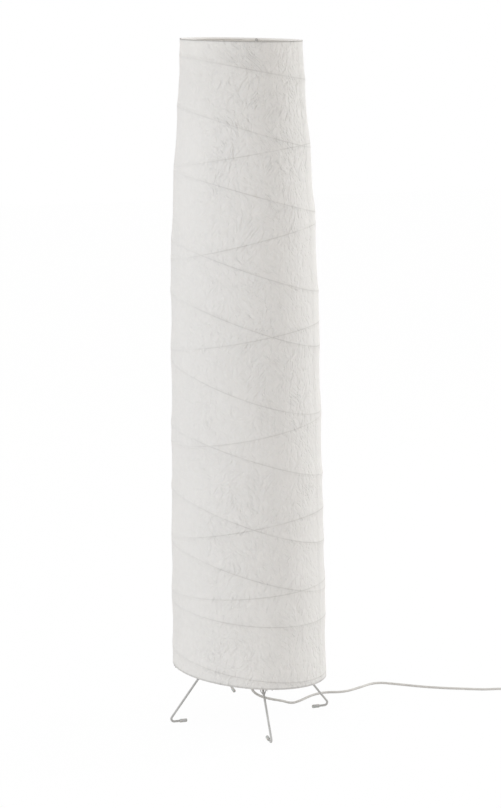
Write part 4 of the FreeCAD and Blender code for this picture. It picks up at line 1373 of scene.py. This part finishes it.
@dataclass
class Stand:
    """The bent wire legs with their caps and forks, the hub, and the two uprights, in millimetres.

    A leg rises steepness millimetres for each one that it runs inwards. The reaches are measured from
    the lamp's axis, but the two rim reaches are in metres, as the rims' planes are.

    Attributes:
        bow: Half the width of the wire bow on a rod's tip, and its lower and upper ends.
        prong_ends: Where a prong's flat end starts and ends.
        ring_half: Half the height of an end ring.
        tip_gap: What stays free under it.
        thread: The threaded tube's lower and upper ends, and its thread's root and crest.
    """

    wire: float = 2.25
    foot_level: float = 3.3
    foot_start: float = 135.1
    foot_reach: float = 171.5
    foot_bend: float = 6.0
    hub_level: float = 105.0
    hub_bend: float = 8.0
    hub_start: float = 14.0
    steepness: float = 1.35
    cap_radius: float = 3.5
    cap_start: float = 133.0
    cap_length: float = 15.0
    upright_azimuth: float = 60.0
    upright_reach: float = 106.0
    upright_radius: float = 2.0
    arm_end: float = 102.8
    socket_low: float = 102.75
    tip_end: float = 114.6
    tip_rim_reach: float = 0.1142
    bow_reach: float = 110.6
    bow: tuple[float, float, float] = (1.8, 1.0, 4.8)
    bow_wire: float = 0.6
    fork_rim_reach: float = 0.154
    fork_level: float = 83.5
    fork_spread: float = 5.2
    prong: float = 0.9
    prong_ends: Pair = (150.0, 156.6)
    ring_half: float = 2.0
    tip_gap: float = 0.4
    thread: tuple[float, float, float, float] = (97.25, 117.25, 4.7, 5.0)

    def build(self) -> Iterator[Piece]:
        """Builds the stand.

        Yields:
            Each finished piece.
        """
        for side in Side:
            yield self.leg(side)
            yield self.cap(side)
            yield self.fork(side)
        yield from self.hub()
        yield from self.uprights()

    @staticmethod
    def rim_level(rim: Hoop, reach: float, azimuth: float) -> float:
        """The height of a rim's plane, in millimetres, at a reach in metres."""
        turn = math.radians(azimuth)
        return float(rim.level(np.array(reach * math.cos(turn)), np.array(reach * math.sin(turn)))) / MM

    def fork(self, side: Side) -> Piece:
        """Two prongs that spread from the leg out to the bottom ring, which rests on their ends.

        Args:
            side: The leg.

        Returns:
            The fork.
        """
        low = self.fork_level
        root = self.foot_reach - (low - self.foot_level) / self.steepness
        under = self.rim_level(Shade().bottom, self.fork_rim_reach, side.value) - self.ring_half
        top = under - self.tip_gap - self.prong
        near, far = self.prong_ends
        prongs = []
        for way in (-1, 1):
            wide = way * self.fork_spread
            corners = [
                (root, way * 1.2, low), (root - 4.8, wide, low + 6.5), (root - 5.1, wide, low + 12.0),
                (near, wide, top), (far, wide, top),
            ]
            prongs.append(Bench.rod(f"prong_{side.word}_{way}", corners, [1.5, 1.5, 4.0], self.prong))
        fork = Bench.stand(Bench.join(f"fork_{side.word}", prongs), side.value)
        return dress(fork, PAINTED_WIRE, f"ring_tab_{side.word}")

    def leg(self, side: Side) -> Piece:
        """One leg: foot, slope and the run under the hub.

        Args:
            side: The leg.

        Returns:
            The leg.
        """
        top = self.foot_reach - (self.hub_level - self.foot_level) / self.steepness
        corners = [
            (self.foot_start, 0.0, self.foot_level), (self.foot_reach, 0.0, self.foot_level),
            (top, 0.0, self.hub_level), (self.hub_start, 0.0, self.hub_level),
        ]
        piece = Bench.rod(f"wire_leg_{side.word}", corners, [self.foot_bend, self.hub_bend], self.wire)
        return dress(Bench.stand(piece, side.value), PAINTED_WIRE, f"leg_{side.word}")

    def cap(self, side: Side) -> Piece:
        """The soft cap over a foot's end, flat where it rests.

        Args:
            side: The leg.

        Returns:
            The cap.
        """
        radius, long, bore = self.cap_radius, self.cap_length, self.wire + 0.1
        profile = [
            (0.0, 0.0), (radius - 1.2, 0.0), (radius - 0.35, 0.35), (radius, 1.2), (radius, long - 0.6),
            (radius - 0.3, long), (bore, long), (bore, 2.0), (0.0, 2.0),
        ]
        piece = Bench.lay(Bench.turn(f"cap_{side.word}", profile, 32), (self.cap_start, 0.0, self.foot_level))
        Bench.reshape(piece, lambda points: np.column_stack((points[:, :2], np.maximum(points[:, 2], 0.0))))
        return dress(Bench.stand(piece, side.value), CAP_RUBBER, f"foot_cap_{side.word}")

    def hub(self) -> Iterator[Piece]:
        """The plate, the threaded tube with its nut, and the cord grip.

        Yields:
            Each finished piece.
        """
        yield dress(Bench.turn("hub_disc", [
            (5.1, 107.25), (31.6, 107.25), (32.0, 107.6), (32.0, 108.9), (31.6, 109.25), (5.1, 109.25),
            (5.1, 107.25),
        ], 72), PAINTED_WIRE, "hub_plate")
        low, high, root, crest = self.thread
        thread = [pair for level in np.arange(low, high - 0.75)
                  for pair in ((root, float(level)), (crest, float(level) + 0.5))]
        thread += [(root, high), (3.6, high), (3.6, low), (root, low)]
        yield dress(Bench.turn("threaded_tube", thread, 40, angle=25.0), ZINC, "nipple")
        yield dress(Bench.soften("hex_nut", "nipple_nut", 0.4, 2, 40.0), ZINC)
        yield dress(Bench.turn("grip_bush", [
            (0.0, 80.0), (3.8, 80.0), (4.2, 80.4), (5.2, 84.5), (6.4, 90.0), (7.6, 95.2), (8.0, 96.2),
            (8.0, 102.8), (7.6, 103.25), (5.1, 103.25), (5.1, 97.25), (0.0, 97.25),
        ], 40), HOLDER_MOULDING, "cord_grip")

    def uprights(self) -> Iterator[Piece]:
        """Two rods in their sockets, with tips bent out under the top ring and a wire bow on each.

        Yields:
            Each finished piece.
        """
        low, reach, bow = self.socket_low, self.upright_reach, self.bow_reach
        for name, azimuth in (("back", self.upright_azimuth), ("front", self.upright_azimuth + 180.0)):
            run = [(self.hub_start, 0.0, self.hub_level), (self.arm_end, 0.0, self.hub_level)]
            arm = Bench.stand(Bench.rod(f"arm_{name}", run, [], self.wire), azimuth)
            yield dress(arm, PAINTED_WIRE, f"upright_arm_{name}")
            socket = Bench.turn(f"socket_{name}", [
                (0.0, 0.0), (3.0, 0.0), (3.35, 0.4), (3.35, 33.6), (3.1, 34.0), (2.15, 34.0), (2.15, 3.0),
                (0.0, 3.0),
            ], 32, low)
            yield dress(Bench.stand(socket, azimuth, reach), PAINTED_WIRE, f"upright_socket_{name}")
            under = self.rim_level(Shade().top, self.tip_rim_reach, azimuth) - self.ring_half
            tip = under - self.tip_gap - self.upright_radius
            line = [(reach, 0.0, low + 3.0), (reach, 0.0, tip), (self.tip_end, 0.0, tip)]
            rod = Bench.rod(f"rod_{name}", line, [5.0], self.upright_radius)
            half, low_end, high_end = self.bow
            loop = Bench.rod(f"bow_{name}", [
                (bow, -half, tip + low_end), (bow, -half, tip + high_end),
                (bow, half, tip + high_end), (bow, half, tip + low_end),
            ], [1.4, 1.4], self.bow_wire)
            rod = Bench.stand(Bench.join(f"rod_{name}", [rod, loop]), azimuth)
            yield dress(rod, PAINTED_WIRE, f"upright_rod_{name}")


# ------------------------------------------------------------------ lamp holder and bulb


@dataclass
class LampHolder:
    """The housing, its ceramic block, screw shell and contact."""

    seat: float = 109.25
    grips: int = 6
    grip_start: float = 28.0
    grip_pitch: float = 3.6

    def build(self) -> Iterator[Piece]:
        """Builds the holder.

        Yields:
            Each finished piece.
        """
        grips: list[Pair] = []
        for ring in range(self.grips):
            level = self.grip_start + ring * self.grip_pitch
            grips += [(20.0, level), (19.6, level + 0.3), (19.6, level + 1.1), (20.0, level + 1.4)]
        for name, node, look, steps, angle, profile in (
            ("housing_cup", "holder_cup", HOLDER_MOULDING, 64, 40.0, [
                (5.1, 0.0), (13.4, 0.0), (14.2, 0.4), (19.5, 5.4), (20.0, 6.4), (20.0, 23.2), (19.6, 24.0),
                (17.0, 24.0), (17.0, 12.0), (13.0, 12.0), (13.0, 4.0), (5.1, 4.0), (5.1, 0.0)]),
            ("housing_skirt", "holder_skirt", HOLDER_MOULDING, 64, 40.0, [
                (17.0, 24.0), (19.6, 24.0), (20.0, 24.6), *grips, (20.0, 52.0), (21.2, 53.3), (21.5, 54.0),
                (21.5, 55.4), (21.0, 56.0), (17.4, 56.0), (17.0, 55.5), (17.0, 24.0)]),
            ("insulating_block", "holder_block", GLAZED_BLOCK, 56, 40.0, [
                (0.0, 12.0), (16.4, 12.0), (16.8, 12.5), (16.8, 25.4), (16.2, 26.0), (0.0, 26.0)]),
            ("threaded_shell", "screw_shell", BRASS, 56, 40.0, [
                (13.7, 26.0), (14.1, 26.0), (14.1, 50.0), (13.7, 50.0), (13.7, 26.0)]),
            ("spring_contact", "centre_contact", BRASS, 32, 60.0, [
                (0.0, 26.0), (3.7, 26.0), (4.0, 26.3), (3.6, 27.1), (1.8, 27.5), (0.0, 27.5)]),
        ):
            yield dress(Bench.turn(name, profile, steps, self.seat, angle), look, node)


@dataclass
class Bulb:
    """An opal globe bulb with its screw cap."""

    low: float = 137.05
    pitch: float = 3.629
    globe_centre: float = 75.0
    globe_radius: float = 30.0

    def build(self) -> Iterator[Piece]:
        """Builds the bulb.

        Yields:
            Each finished piece.
        """
        tip = [(0.0, 0.0), (3.2, 0.0), (4.2, 0.4), (4.5, 1.0), (4.5, 2.2), (0.0, 2.2)]
        cap = [(0.0, 2.2), (7.6, 2.2), (9.0, 3.2), (11.6, 6.5), (12.5, 7.0)]
        for level in np.arange(7.2, 22.0, self.pitch).tolist():
            cap += [(12.5, level), (13.15, level + self.pitch * 0.5)]
        cap += [(12.9, 24.0), (12.9, 25.2), (0.0, 25.2)]
        glass = [(0.0, 25.2), (12.9, 25.2), (13.1, 29.0), (14.0, 35.0), (15.8, 41.0), (18.3, 46.5),
                 (21.0, 51.0)]
        centre, radius = self.globe_centre, self.globe_radius
        for step in range(20):
            angle = math.radians(52.0 + step * 6.6)
            glass.append((radius * math.sin(angle), centre - radius * math.cos(angle)))
        glass.append((0.0, centre + radius))
        for name, node, look, body, profile, steps, angle in (
            ("bulb_contact_tip", "bulb_tip", NICKEL, Body.BULB_SHIFT, tip, 32, 60.0),
            ("bulb_screw_cap", "bulb_cap", NICKEL, Body.BULB, cap, 48, 70.0),
            ("bulb_globe_glass", "bulb_globe", OPAL, Body.BULB, glass, 64, 70.0),
        ):
            yield dress(Bench.turn(name, profile, steps, self.low, angle), look, node, body=body)


# ------------------------------------------------------------------ order of work


def main() -> None:
    """Builds the assemblies in order and reports each piece."""
    logging.basicConfig(level=logging.INFO, format="%(asctime)s %(name)s: %(message)s")
    Studio().build()
    LOG.info("the camera, the lamps and the floor are in place")
    for assembly in (MainsCord(), Shade(), Stand(), LampHolder(), Bulb()):
        for piece in assembly.build():
            LOG.info("%s: %s is in place", type(assembly).__name__, piece.name)


if __name__ == "__main__":
    main()
